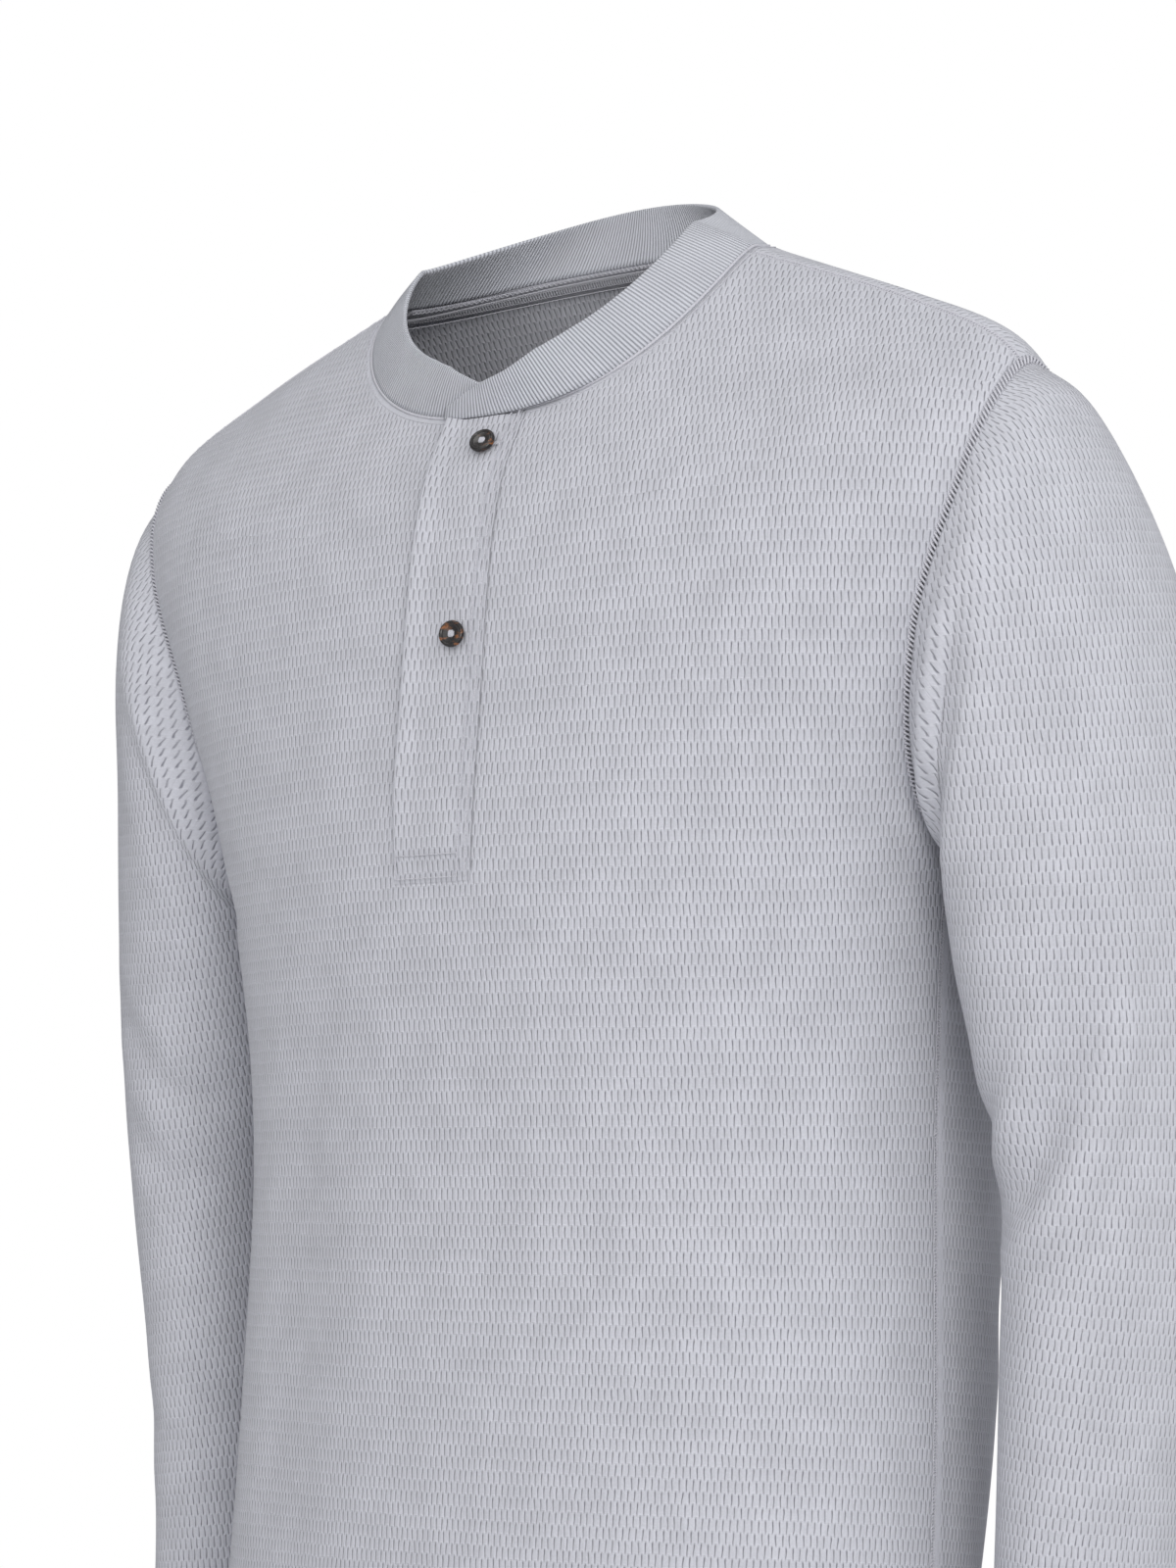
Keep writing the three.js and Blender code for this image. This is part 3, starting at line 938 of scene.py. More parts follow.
class Graph:
    """Small helper that adds and links nodes in one node tree."""

    def __init__(self, tree: bpy.types.NodeTree) -> None:
        """Works in the given tree."""
        self.tree = tree

    def add(self, kind: str, **settings: object) -> bpy.types.Node:
        """Adds a node and sets its properties."""
        node = self.tree.nodes.new(kind)
        for name, value in settings.items():
            setattr(node, name, value)
        return node

    def feed(self, socket: Socket, value: object) -> None:
        """Links a socket to another, or sets it to a plain value."""
        if isinstance(value, Socket):
            self.tree.links.new(value, socket)
        else:
            socket.default_value = value

    @staticmethod
    def settle(node: bpy.types.Node, **values: object) -> None:
        """Sets a node's own sockets to plain values, by their names."""
        for name, value in values.items():
            node.inputs[name.replace("_", " ")].default_value = value

    def math(self, operation: str, *values: object, clamp: bool = False) -> Socket:
        """Adds a Math node and returns its result.

        Args:
            operation: Name of the operation.
            *values: Its inputs.
            clamp: Whether the result stays between 0 and 1.

        Returns:
            The result.
        """
        node = self.add("ShaderNodeMath", operation=operation, use_clamp=clamp)
        for socket, value in zip(node.inputs, values):
            self.feed(socket, value)
        return node.outputs[0]

    def times(self, first: object, second: object) -> Socket:
        """Product of two values."""
        return self.math("MULTIPLY", first, second)

    def plus(self, first: object, second: object) -> Socket:
        """Sum of two values."""
        return self.math("ADD", first, second)

    def ramp(self, value: object, low: float, high: float, start: object = 0.0,
             end: object = 1.0) -> Socket:
        """Smooth step of a value between two limits, mapped to a new range.

        Args:
            value: What is mapped.
            low, high: Limits of the step.
            start, end: Results below and above the step.

        Returns:
            The result.
        """
        node = self.add("ShaderNodeMapRange", interpolation_type="SMOOTHSTEP")
        for socket, item in zip(node.inputs, (value, low, high, start, end)):
            self.feed(socket, item)
        return node.outputs[0]

    def blend(self, amount: object, first: object, second: object,
              kind: str = "MIX") -> Socket:
        """Mixes two colours.

        Args:
            amount: Share of the second colour.
            first, second: The colours.
            kind: How they are mixed.

        Returns:
            The mixed colour.
        """
        node = self.add("ShaderNodeMix", data_type="RGBA", blend_type=kind)
        for index, item in zip((0, 6, 7), (amount, first, second)):  # factor and the two colours
            self.feed(node.inputs[index], item)
        return node.outputs[2]

    def noise(self, vector: Socket, scale: float, detail: float = 2.0) -> Socket:
        """Noise about 0.5 at a scale, read at a vector.

        Args:
            vector: Where it is read.
            scale: Cells in a unit.
            detail: Finer layers.

        Returns:
            The noise.
        """
        node = self.add("ShaderNodeTexNoise")
        self.feed(node.inputs["Vector"], vector)
        self.feed(node.inputs["Scale"], scale)
        self.feed(node.inputs["Detail"], detail)
        return node.outputs["Fac"]


class Group:
    """A shader node group with named inputs and outputs, built once."""

    def __init__(self, name: str, inputs: dict[str, tuple[str, object]],
                 outputs: dict[str, str]) -> None:
        """Makes the group and its sockets.

        Args:
            name: Name of the group.
            inputs: Socket type and first value of each input.
            outputs: Socket type of each output.
        """
        self.tree = bpy.data.node_groups.new(name, "ShaderNodeTree")
        for label, (kind, value) in inputs.items():
            socket = self.tree.interface.new_socket(name=label, in_out="INPUT", socket_type=kind)
            if value is not None:
                socket.default_value = value
        for label, kind in outputs.items():
            self.tree.interface.new_socket(name=label, in_out="OUTPUT", socket_type=kind)
        self.graph = Graph(self.tree)
        self.source = self.graph.add("NodeGroupInput").outputs
        self.result = self.graph.add("NodeGroupOutput").inputs

    def place(self, graph: Graph, **values: object) -> bpy.types.bpy_prop_collection:
        """Puts the group in a material and returns its outputs.

        Args:
            graph: The material's graph.
            **values: Value of each input, by its name.

        Returns:
            The outputs.
        """
        node = graph.add("ShaderNodeGroup", node_tree=self.tree)
        for label, value in values.items():
            graph.feed(node.inputs[label.replace("_", " ")], value)
        return node.outputs


FLOAT, VECTOR = "NodeSocketFloat", "NodeSocketVector"


def honeycomb_group() -> Group:
    """Rows of upright cells in half drop: grooves between the wales, and a rise in each cell."""
    group = Group(
        "Honeycomb knit",
        {"Grain": (VECTOR, None), "Pitch": (FLOAT, 2.75), "Row": (FLOAT, 5.0),
         "Fade": (FLOAT, 0.0)},
        {"Groove": FLOAT, "Height": FLOAT, "Cell": FLOAT, "Link": FLOAT},
    )
    g, source = group.graph, group.source
    wobble = g.add("ShaderNodeTexNoise", noise_dimensions="3D")
    g.feed(wobble.inputs["Vector"], source["Grain"])
    g.feed(wobble.inputs["Scale"], 0.16)
    g.feed(wobble.inputs["Detail"], 1.0)
    drift = g.add("ShaderNodeVectorMath", operation="MULTIPLY_ADD")
    g.feed(drift.inputs[0], wobble.outputs["Color"])
    drift.inputs[1].default_value = (1.1, 1.5, 0.0)
    g.feed(drift.inputs[2], source["Grain"])
    parts = g.add("ShaderNodeSeparateXYZ")
    g.feed(parts.inputs[0], drift.outputs[0])
    along = g.math("DIVIDE", parts.outputs["Y"], source["Row"])
    row = g.math("FLOOR", along)
    up = g.math("SUBTRACT", along, row)
    half = g.times(g.math("FLOORED_MODULO", row, 2.0), 0.5)
    across = g.plus(g.math("DIVIDE", parts.outputs["X"], source["Pitch"]), half)
    column = g.math("FLOOR", g.plus(across, 0.5))
    side = g.math("ABSOLUTE", g.math("SUBTRACT", across, column))  # 0 on a groove, 0.5 in a cell
    # the groove runs nearly the whole height of its row and is widest near the top
    swell = g.ramp(up, 0.2, 0.85, 0.07, 0.1)
    ends = g.times(g.ramp(up, 0.01, 0.1), g.ramp(up, 0.99, 0.9))
    core = g.ramp(g.math("DIVIDE", side, swell), 1.3, 0.35)
    deeper = g.ramp(up, 0.1, 0.85, 0.72, 1.0)
    groove = g.times(g.times(core, ends), deeper)
    # slanted links bridge the grooves of one row to the cells of the next
    tip = g.times(g.ramp(up, 0.8, 0.98), g.ramp(side, 0.5, 0.25))
    foot = g.times(g.ramp(up, 0.2, 0.02), g.ramp(side, 0.0, 0.25))
    crown = g.math("POWER", g.math("SINE", g.times(side, math.pi), clamp=True), 0.7)
    spine = g.times(g.ramp(side, 0.44, 0.5), -0.16)
    body = g.plus(g.times(crown, 0.75), spine)
    links = g.times(g.plus(tip, foot), 0.3)
    level = g.math("ABSOLUTE", g.math("SUBTRACT", up, 0.5))
    seam = g.times(g.ramp(level, 0.45, 0.5), g.ramp(side, 0.1, 0.4))
    groove = g.math("MAXIMUM", groove, g.times(seam, 0.5))
    relief = g.math("SUBTRACT", g.plus(body, links), g.times(groove, 0.5))
    shown = g.math("SUBTRACT", 1.0, source["Fade"], clamp=True)
    spot = g.add("ShaderNodeCombineXYZ")
    g.feed(spot.inputs[0], column)
    g.feed(spot.inputs[1], row)
    chance = g.add("ShaderNodeTexWhiteNoise", noise_dimensions="2D")
    g.feed(chance.inputs["Vector"], spot.outputs[0])
    uneven = g.math("MULTIPLY_ADD", chance.outputs["Value"], 0.45, 0.7)
    # Groove also masks the painted shade in the knit's colour
    g.feed(group.result["Groove"], g.times(g.times(groove, uneven), shown))
    g.feed(group.result["Height"], g.times(relief, shown))
    g.feed(group.result["Cell"], chance.outputs["Value"])
    # Link masks where the knit's colour gets a painted highlight
    g.feed(group.result["Link"], g.times(g.math("ADD", tip, foot, clamp=True), shown))
    return group


def yarn_group() -> Group:
    """Fine loops and soft colour drift of spun yarn."""
    group = Group(
        "Yarn",
        {"Grain": (VECTOR, None), "Loop": (FLOAT, 0.45)},
        {"Loops": FLOAT, "Drift": FLOAT, "Lint": FLOAT},
    )
    g, source = group.graph, group.source
    parts = g.add("ShaderNodeSeparateXYZ")
    g.feed(parts.inputs[0], source["Grain"])
    turn_x = g.math("DIVIDE", parts.outputs["X"], source["Loop"])
    turn_y = g.math("DIVIDE", parts.outputs["Y"], source["Loop"])
    wave_x = g.math("SINE", g.times(turn_x, math.tau))
    lean = g.times(g.math("ABSOLUTE", wave_x), 0.35)
    wave_y = g.math("SINE", g.times(g.plus(turn_y, lean), math.tau))
    weave = g.times(g.plus(wave_x, wave_y), 0.25)
    fine = g.noise(source["Grain"], 2.6, 3.0)
    g.feed(group.result["Loops"], g.plus(weave, fine))
    g.feed(group.result["Drift"], g.noise(source["Grain"], 0.045, 3.0))
    g.feed(group.result["Lint"], g.noise(source["Grain"], 1.1, 4.0))
    return group


def rib_group() -> Group:
    """Even upright ribs, with loops stacked along each."""
    group = Group(
        "Fine rib",
        {"Grain": (VECTOR, None), "Pitch": (FLOAT, 1.8), "Loop": (FLOAT, 0.8)},
        {"Furrow": FLOAT, "Height": FLOAT},
    )
    g, source = group.graph, group.source
    parts = g.add("ShaderNodeSeparateXYZ")
    g.feed(parts.inputs[0], source["Grain"])
    turn = g.math("DIVIDE", parts.outputs["X"], source["Pitch"])
    side = g.math("ABSOLUTE", g.math("SUBTRACT", g.math("FRACT", turn), 0.5))  # 0 on a rib
    crown = g.ramp(side, 0.5, 0.12)
    slant = g.plus(g.math("DIVIDE", parts.outputs["Y"], source["Loop"]), g.times(side, 1.6))
    loop = g.math("ABSOLUTE", g.math("SINE", g.times(slant, math.pi)))
    # Furrow also masks the painted shade in the rib's colour
    g.feed(group.result["Furrow"], g.ramp(side, 0.33, 0.48))
    g.feed(group.result["Height"], g.plus(crown, g.times(g.times(loop, crown), 0.08)))
    return group


class Groups:
    """The node groups that the finishes share."""

    def __init__(self) -> None:
        """Builds each group once."""
        self.honeycomb = honeycomb_group()
        self.yarn = yarn_group()
        self.rib = rib_group()


class Finish:
    """Base of the finishes: a material with one Principled BSDF."""

    name = "Finish"

    def start(self) -> tuple[bpy.types.Material, Graph, bpy.types.Node]:
        """Makes an empty material with its shader and output.

        Returns:
            The material, its graph and its shader.
        """
        material = bpy.data.materials.new(self.name)
        material.use_nodes = True
        material.node_tree.nodes.clear()
        graph = Graph(material.node_tree)
        shader = graph.add("ShaderNodeBsdfPrincipled")
        graph.feed(graph.add("ShaderNodeOutputMaterial").inputs["Surface"], shader.outputs[0])
        return material, graph, shader

    @staticmethod
    def grain(graph: Graph) -> Socket:
        """The grain UV map of a piece, in millimetres."""
        return graph.add("ShaderNodeUVMap", uv_map="grain").outputs[0]

    @staticmethod
    def colour(graph: Graph, shader: bpy.types.Node, tone: Socket, shade: Socket) -> None:
        """Feeds the shader's colour from a tone, darkened or lightened by a grey shade.

        Args:
            graph: The material's graph.
            shader: Its shader.
            tone: Colour of the yarn.
            shade: Grey that multiplies it.
        """
        tint = graph.add("ShaderNodeCombineColor")
        for socket in tint.inputs[:3]:
            graph.feed(socket, shade)
        shaded = graph.blend(1.0, tone, tint.outputs[0], "MULTIPLY")
        graph.feed(shader.inputs["Base Color"], shaded)

    @staticmethod
    def soften(shader: bpy.types.Node) -> None:
        """Gives the shader the faint sheen and dull highlight of cotton."""
        Graph.settle(shader, Sheen_Weight=0.25, Sheen_Roughness=0.5, Specular_IOR_Level=0.25)

    @staticmethod
    def bump(graph: Graph, shader: bpy.types.Node, height: Socket, depth: float) -> None:
        """Feeds the shader's normal from a height, deep in millimetres.

        Args:
            graph: The material's graph.
            shader: Its shader.
            height: The relief.
            depth: Depth of the relief in millimetres.
        """
        node = graph.add("ShaderNodeBump")
        Graph.settle(node, Distance=depth * MM, Strength=1.0)
        graph.feed(node.inputs["Height"], height)
        graph.feed(shader.inputs["Normal"], node.outputs[0])


@dataclass(frozen=True)
class HoneycombKnit(Finish):
    """Thermal honeycomb knit of heathered yarn, smooth where a seam flattens it; painted shade in
    its grooves and a painted highlight on its links.
    """

    name: str = "Honeycomb knit"
    light: Colour = (196, 197, 205)
    # painted shade: the knit's colour deep in its grooves
    dark: Colour = (137, 138, 147)
    depth: float = 0.5  # of the relief, in millimetres

    def make(self, groups: Groups) -> bpy.types.Material:
        """Builds the material."""
        material, g, shader = self.start()
        grain = self.grain(g)
        welt = g.add("ShaderNodeAttribute", attribute_name="welt").outputs["Fac"]
        comb = groups.honeycomb.place(g, Grain=grain, Fade=welt)
        yarn = groups.yarn.place(g, Grain=grain)
        # painted shade: the grooves darken the colour towards the dark grey
        tone = g.blend(comb["Groove"], linear(*self.light), linear(*self.dark))
        # painted highlight: the raised links are lightened towards a brighter colour
        bright = tuple(min(255, step + 9) for step in self.light)
        tone = g.blend(g.times(comb["Link"], 0.7), tone, linear(*bright))
        drift = g.ramp(yarn["Drift"], 0.3, 0.7, 0.955, 1.03)
        cell = g.math("MULTIPLY_ADD", comb["Cell"], 0.05, 0.975)
        lint = g.ramp(yarn["Lint"], 0.35, 0.75, 0.96, 1.03)
        shade = g.times(g.times(drift, cell), lint)
        self.colour(g, shader, tone, shade)
        g.feed(shader.inputs["Roughness"], g.ramp(yarn["Lint"], 0.2, 0.8, 0.86, 0.96))
        self.soften(shader)
        height = g.plus(comb["Height"], g.times(yarn["Loops"], 0.16))
        self.bump(g, shader, height, self.depth)
        return material


@dataclass(frozen=True)
class RibKnit(Finish):
    """Fine rib of the neck band, a touch lighter and cooler than the body, with painted shade in
    the furrows between its ribs.
    """

    name: str = "Fine rib"
    light: Colour = (201, 203, 211)
    # painted shade: the rib's colour deep in its furrows
    dark: Colour = (140, 142, 151)
    pitch: float = 1.8
    depth: float = 0.6

    def make(self, groups: Groups) -> bpy.types.Material:
        """Builds the material."""
        material, g, shader = self.start()
        grain = self.grain(g)
        rib = groups.rib.place(g, Grain=grain, Pitch=self.pitch)
        yarn = groups.yarn.place(g, Grain=grain)
        # painted shade in the furrows between the ribs
        tone = g.blend(rib["Furrow"], linear(*self.light), linear(*self.dark))
        shade = g.ramp(yarn["Drift"], 0.3, 0.7, 0.96, 1.03)
        self.colour(g, shader, tone, shade)
        g.feed(shader.inputs["Roughness"], g.ramp(yarn["Lint"], 0.2, 0.8, 0.84, 0.95))
        self.soften(shader)
        height = g.plus(rib["Height"], g.times(yarn["Loops"], 0.05))
        self.bump(g, shader, height, self.depth)
        return material


@dataclass(frozen=True)
class TwillTape(Finish):
    """Narrow herringbone tape that covers the seam inside the back of the neck, with painted shade
    between its ridges.
    """

    name: str = "Herringbone tape"
    light: Colour = (196, 196, 204)
    # painted shade: the tape's colour between its ridges
    dark: Colour = (150, 150, 160)

    def make(self, groups: Groups) -> bpy.types.Material:
        """Builds the material."""
        material, g, shader = self.start()
        grain = self.grain(g)
        parts = g.add("ShaderNodeSeparateXYZ")
        g.feed(parts.inputs[0], grain)
        zigzag = g.math("PINGPONG", parts.outputs["Y"], 1.6)
        turn = g.math("FRACT", g.math("DIVIDE", g.plus(parts.outputs["X"], zigzag), 0.9))
        ridge = g.ramp(g.math("ABSOLUTE", g.math("SUBTRACT", turn, 0.5)), 0.5, 0.1)
        yarn = groups.yarn.place(g, Grain=grain)
        # painted shade between the ridges, which also set the bump's height
        g.feed(shader.inputs["Base Color"], g.blend(ridge, linear(*self.dark), linear(*self.light)))
        g.feed(shader.inputs["Roughness"], g.ramp(yarn["Lint"], 0.2, 0.8, 0.8, 0.92))
        g.settle(shader, Sheen_Weight=0.15)
        height = g.plus(ridge, g.times(yarn["Loops"], 0.1))
        self.bump(g, shader, height, 0.25)
        return material


@dataclass(frozen=True)
class SewingThread(Finish):
    """Spun polyester sewing thread."""

    name: str = "Sewing thread"
    colour: Colour = (205, 205, 213)

    def make(self, groups: Groups) -> bpy.types.Material:
        """Builds the material."""
        material, g, shader = self.start()
        place = g.add("ShaderNodeTexCoord").outputs["Object"]
        twist = g.noise(place, 2600.0, 2.0)
        light = linear(*self.colour)
        dark = tuple(value * 0.72 for value in light[:3]) + (1.0,)
        g.feed(shader.inputs["Base Color"], g.blend(g.ramp(twist, 0.3, 0.7), dark, light))
        g.feed(shader.inputs["Roughness"], g.ramp(twist, 0.3, 0.7, 0.5, 0.7))
        g.settle(shader, Sheen_Weight=0.2)
        self.bump(g, shader, twist, 0.06)
        return material


@dataclass(frozen=True)
class Horn(Finish):
    """Polished near-black horn with amber-brown streaks."""

    name: str = "Dark horn"
    dark: Colour = (22, 18, 18)
    amber: Colour = (140, 86, 44)

    def make(self, groups: Groups) -> bpy.types.Material:
        """Builds the material."""
        material, g, shader = self.start()
        place = g.add("ShaderNodeTexCoord").outputs["Object"]
        stretch = g.add("ShaderNodeMapping")
        g.settle(stretch, Rotation=(0.0, 0.6, 0.0), Scale=(0.35, 0.35, 1.0))
        g.feed(stretch.inputs["Vector"], place)
        cloud = g.noise(stretch.outputs[0], 420.0, 3.0)
        fine = g.noise(place, 1500.0, 4.0)
        streak = g.times(g.ramp(cloud, 0.52, 0.66), g.ramp(fine, 0.25, 0.5))
        colour = g.blend(streak, linear(*self.dark), linear(*self.amber))
        g.feed(shader.inputs["Base Color"], colour)
        g.feed(shader.inputs["Roughness"], g.ramp(fine, 0.3, 0.7, 0.16, 0.3))
        g.settle(shader, Specular_IOR_Level=0.6)
        self.bump(g, shader, fine, 0.01)
        return material


@dataclass(frozen=True)
class PlainFloor(Finish):
    """Plain pale studio floor."""

    name: str = "Studio floor"
    pale: Colour = (232, 232, 234)
    light: Colour = (238, 238, 240)

    def make(self, groups: Groups) -> bpy.types.Material:
        """Builds the material."""
        material, g, shader = self.start()
        place = g.add("ShaderNodeTexCoord").outputs["Object"]
        colour = g.blend(g.noise(place, 3.0), linear(*self.pale), linear(*self.light))
        g.feed(shader.inputs["Base Color"], colour)
        g.settle(shader, Roughness=0.8)
        return material


class Wardrobe:
    """Every material of the shirt, made once."""

    def __init__(self) -> None:
        """Builds the groups and the materials."""
        groups = Groups()
        self.knit = HoneycombKnit().make(groups)
        self.rib = RibKnit().make(groups)
        self.tape = TwillTape().make(groups)
        self.thread = SewingThread().make(groups)
        self.horn = Horn().make(groups)
        self.floor = PlainFloor().make(groups)


def dress(piece: bpy.types.Object, material: bpy.types.Material, slot: str, *nodes: str) -> None:
    """Gives a piece its material and its body, hides the CAD nodes that it stands for, and logs it
    with its slot.

    Args:
        piece: The finished piece.
        material: Its finish.
        slot: Name of its material slot, which is only logged.
        *nodes: CAD nodes that it stands for.
    """
    piece.data.materials.append(material)
    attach(piece, "root")
    if nodes:
        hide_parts(*nodes)
    LOG.info("%s: %d vertices, slot %s", piece.name, len(piece.data.vertices), slot)


# ------------------------------------------------------------------ the shirt's pieces
@dataclass(frozen=True)
class RowPlan:
    """Rows of a sheet whose edge is turned in: where each lies on the form, and how far off it."""

    place: Array
    offset: Array
    sink: Array
    unrolled: Array

    def reversed(self) -> "RowPlan":
        """The same rows in the other order."""
        return RowPlan(self.place[::-1], self.offset[::-1], self.sink[::-1], self.unrolled[::-1])


def plan_rows(outer: Array, edge: float, per_mm: float, height: float) -> RowPlan:
    """Plans a sheet's rows, from the raw edge of its hem round the fold and along the outside.

    Args:
        outer: Places of the outside rows, from the edge on.
        edge: Place of the edge on the form.
        per_mm: How much the place changes in a millimetre away from the edge.
        height: How far the hem is turned up inside.

    Returns:
        The plan of every row.
    """
    inside = np.linspace(height, TURN_RADIUS, TURN_STEPS)
    turn = np.linspace(0, math.pi, TURN_STEPS)[1:-1]
    arc = TURN_RADIUS * math.pi
    let_down = np.concatenate([-(arc / 2 + inside - TURN_RADIUS),
                               TURN_RADIUS * (turn - math.pi / 2)])
    start = TURN_RADIUS * (math.pi / 2 - 1)
    fold = np.full(len(turn), edge + TURN_RADIUS * per_mm)
    place = np.concatenate([edge + inside * per_mm, fold, outer])
    offset = np.concatenate([np.full(len(inside), -2 * TURN_RADIUS),
                             -TURN_RADIUS * (1 + np.cos(turn)), 0 * outer])
    sink = np.concatenate([0 * inside, TURN_RADIUS * np.sin(turn), 0 * outer])
    unrolled = np.concatenate([edge + (let_down - start) * per_mm, outer])
    return RowPlan(place, offset, sink, unrolled)


class Place(Enum):
    """Which form a line is drawn on."""

    BODY = "body"  # degrees from centre front, ring position
    LEFT = "left"  # turn about the left sleeve, place along it
    RIGHT = "right"


class Pattern:
    """The forms of the shirt, the seams between its pieces and the drape they share."""

    def __init__(self, creases: Sequence["DrawnCrease"]) -> None:
        """Builds the forms, the seams and the drape."""
        self.torso = Torso()
        self.armhole = Armhole()
        self.sleeve = SleeveForm(self.torso, self.armhole)
        self.band = BandForm(self.torso)
        self.drape = Drape([self._crease(crease) for crease in creases], self._seams())

    def _crease(self, drawn: "DrawnCrease") -> Crease:
        """Puts a drawn crease on its form."""
        line = np.array(drawn.line, float)
        if drawn.place is Place.BODY:
            points = self.torso.point(np.radians(line[:, 0]), line[:, 1])
        else:
            points = np.array([self.sleeve.point(turn, length) for turn, length in line])
            if drawn.place is Place.RIGHT:
                points = points * (-1, 1, 1)
        return Crease(tuple(map(tuple, points)), drawn.width, drawn.depth, drawn.fold)

    def _seams(self) -> dict[str, list[Array]]:
        """Points of each kind of seam, on both sides of the shirt."""
        turn = np.linspace(0, 360, 241)
        armhole = self.torso.point(*self.armhole.around(turn))
        side = self.torso.point(np.radians(SIDE_SEAM), np.linspace(-0.1, self.armhole.pit, 160))
        upper = np.linspace(self.armhole.top, NECK, 60)
        shoulder = self.torso.point(np.radians(SHOULDER_SEAM), upper)
        neck = self.torso.point(np.linspace(0, 2 * np.pi, 241), np.full(241, NECK))
        underarm = self.sleeve.grid(np.array([180.0]), np.linspace(0, 10.2, 240))[:, 0]
        lines = {"armhole": armhole, "side": side, "shoulder": shoulder, "underarm": underarm}
        both = {name: [line, line * (-1, 1, 1)] for name, line in lines.items()}
        return {**both, "neck": [neck]}

    def on_body(self, angle: Array, position: Array) -> tuple[Array, Array]:
        """Draped points and normals of the body at angles in radians and ring positions.

        Args:
            angle: Radians from centre front.
            position: Ring positions.

        Returns:
            Points and unit vectors.
        """
        angle, position = np.broadcast_arrays(np.asarray(angle, float), np.asarray(position, float))
        points, normals = self.torso.point(angle, position), self.torso.normal(angle, position)
        return self.drape.apply(points, normals)[0], normals

    def sleeve_form(self, turn: Array, length: Array, side: int) -> tuple[Array, Array]:
        """Bare points and normals of a sleeve, one row for each length.

        Args:
            turn: Degrees about the sleeve.
            length: Places along it.
            side: 1 on the left, -1 on the right.

        Returns:
            Points and unit vectors.
        """
        points = self.sleeve.grid(turn, length)
        around = self.sleeve.grid(turn + 0.8, length) - self.sleeve.grid(turn - 0.8, length)
        down = self.sleeve.grid(turn, length + 0.02) - self.sleeve.grid(turn, length - 0.02)
        flip = np.array([side, 1, 1])
        return points * flip, unit(np.cross(around, down)) * flip

    def on_sleeve(self, turn: Array, length: Array, side: int) -> tuple[Array, Array]:
        """Draped points and normals along a line on a sleeve, one for each turn and length.

        Args:
            turn: Degrees about the sleeve.
            length: Places along it.
            side: 1 on the left, -1 on the right.

        Returns:
            Points and unit vectors.
        """
        turn, length = np.broadcast_arrays(np.asarray(turn, float), np.asarray(length, float))
        pairs = [self.sleeve_form(np.array([t]), np.array([n]), side) for t, n in zip(turn, length)]
        points = np.array([pair[0][0, 0] for pair in pairs])
        normals = np.array([pair[1][0, 0] for pair in pairs])
        return self.drape.apply(points, normals)[0], normals


@dataclass(frozen=True)
class DrawnCrease:
    """A crease as it is drawn on a form, before it has its place in space."""

    place: Place
    line: tuple[tuple[float, float], ...]
    width: float
    depth: float
    fold: Fold = Fold.TROUGH


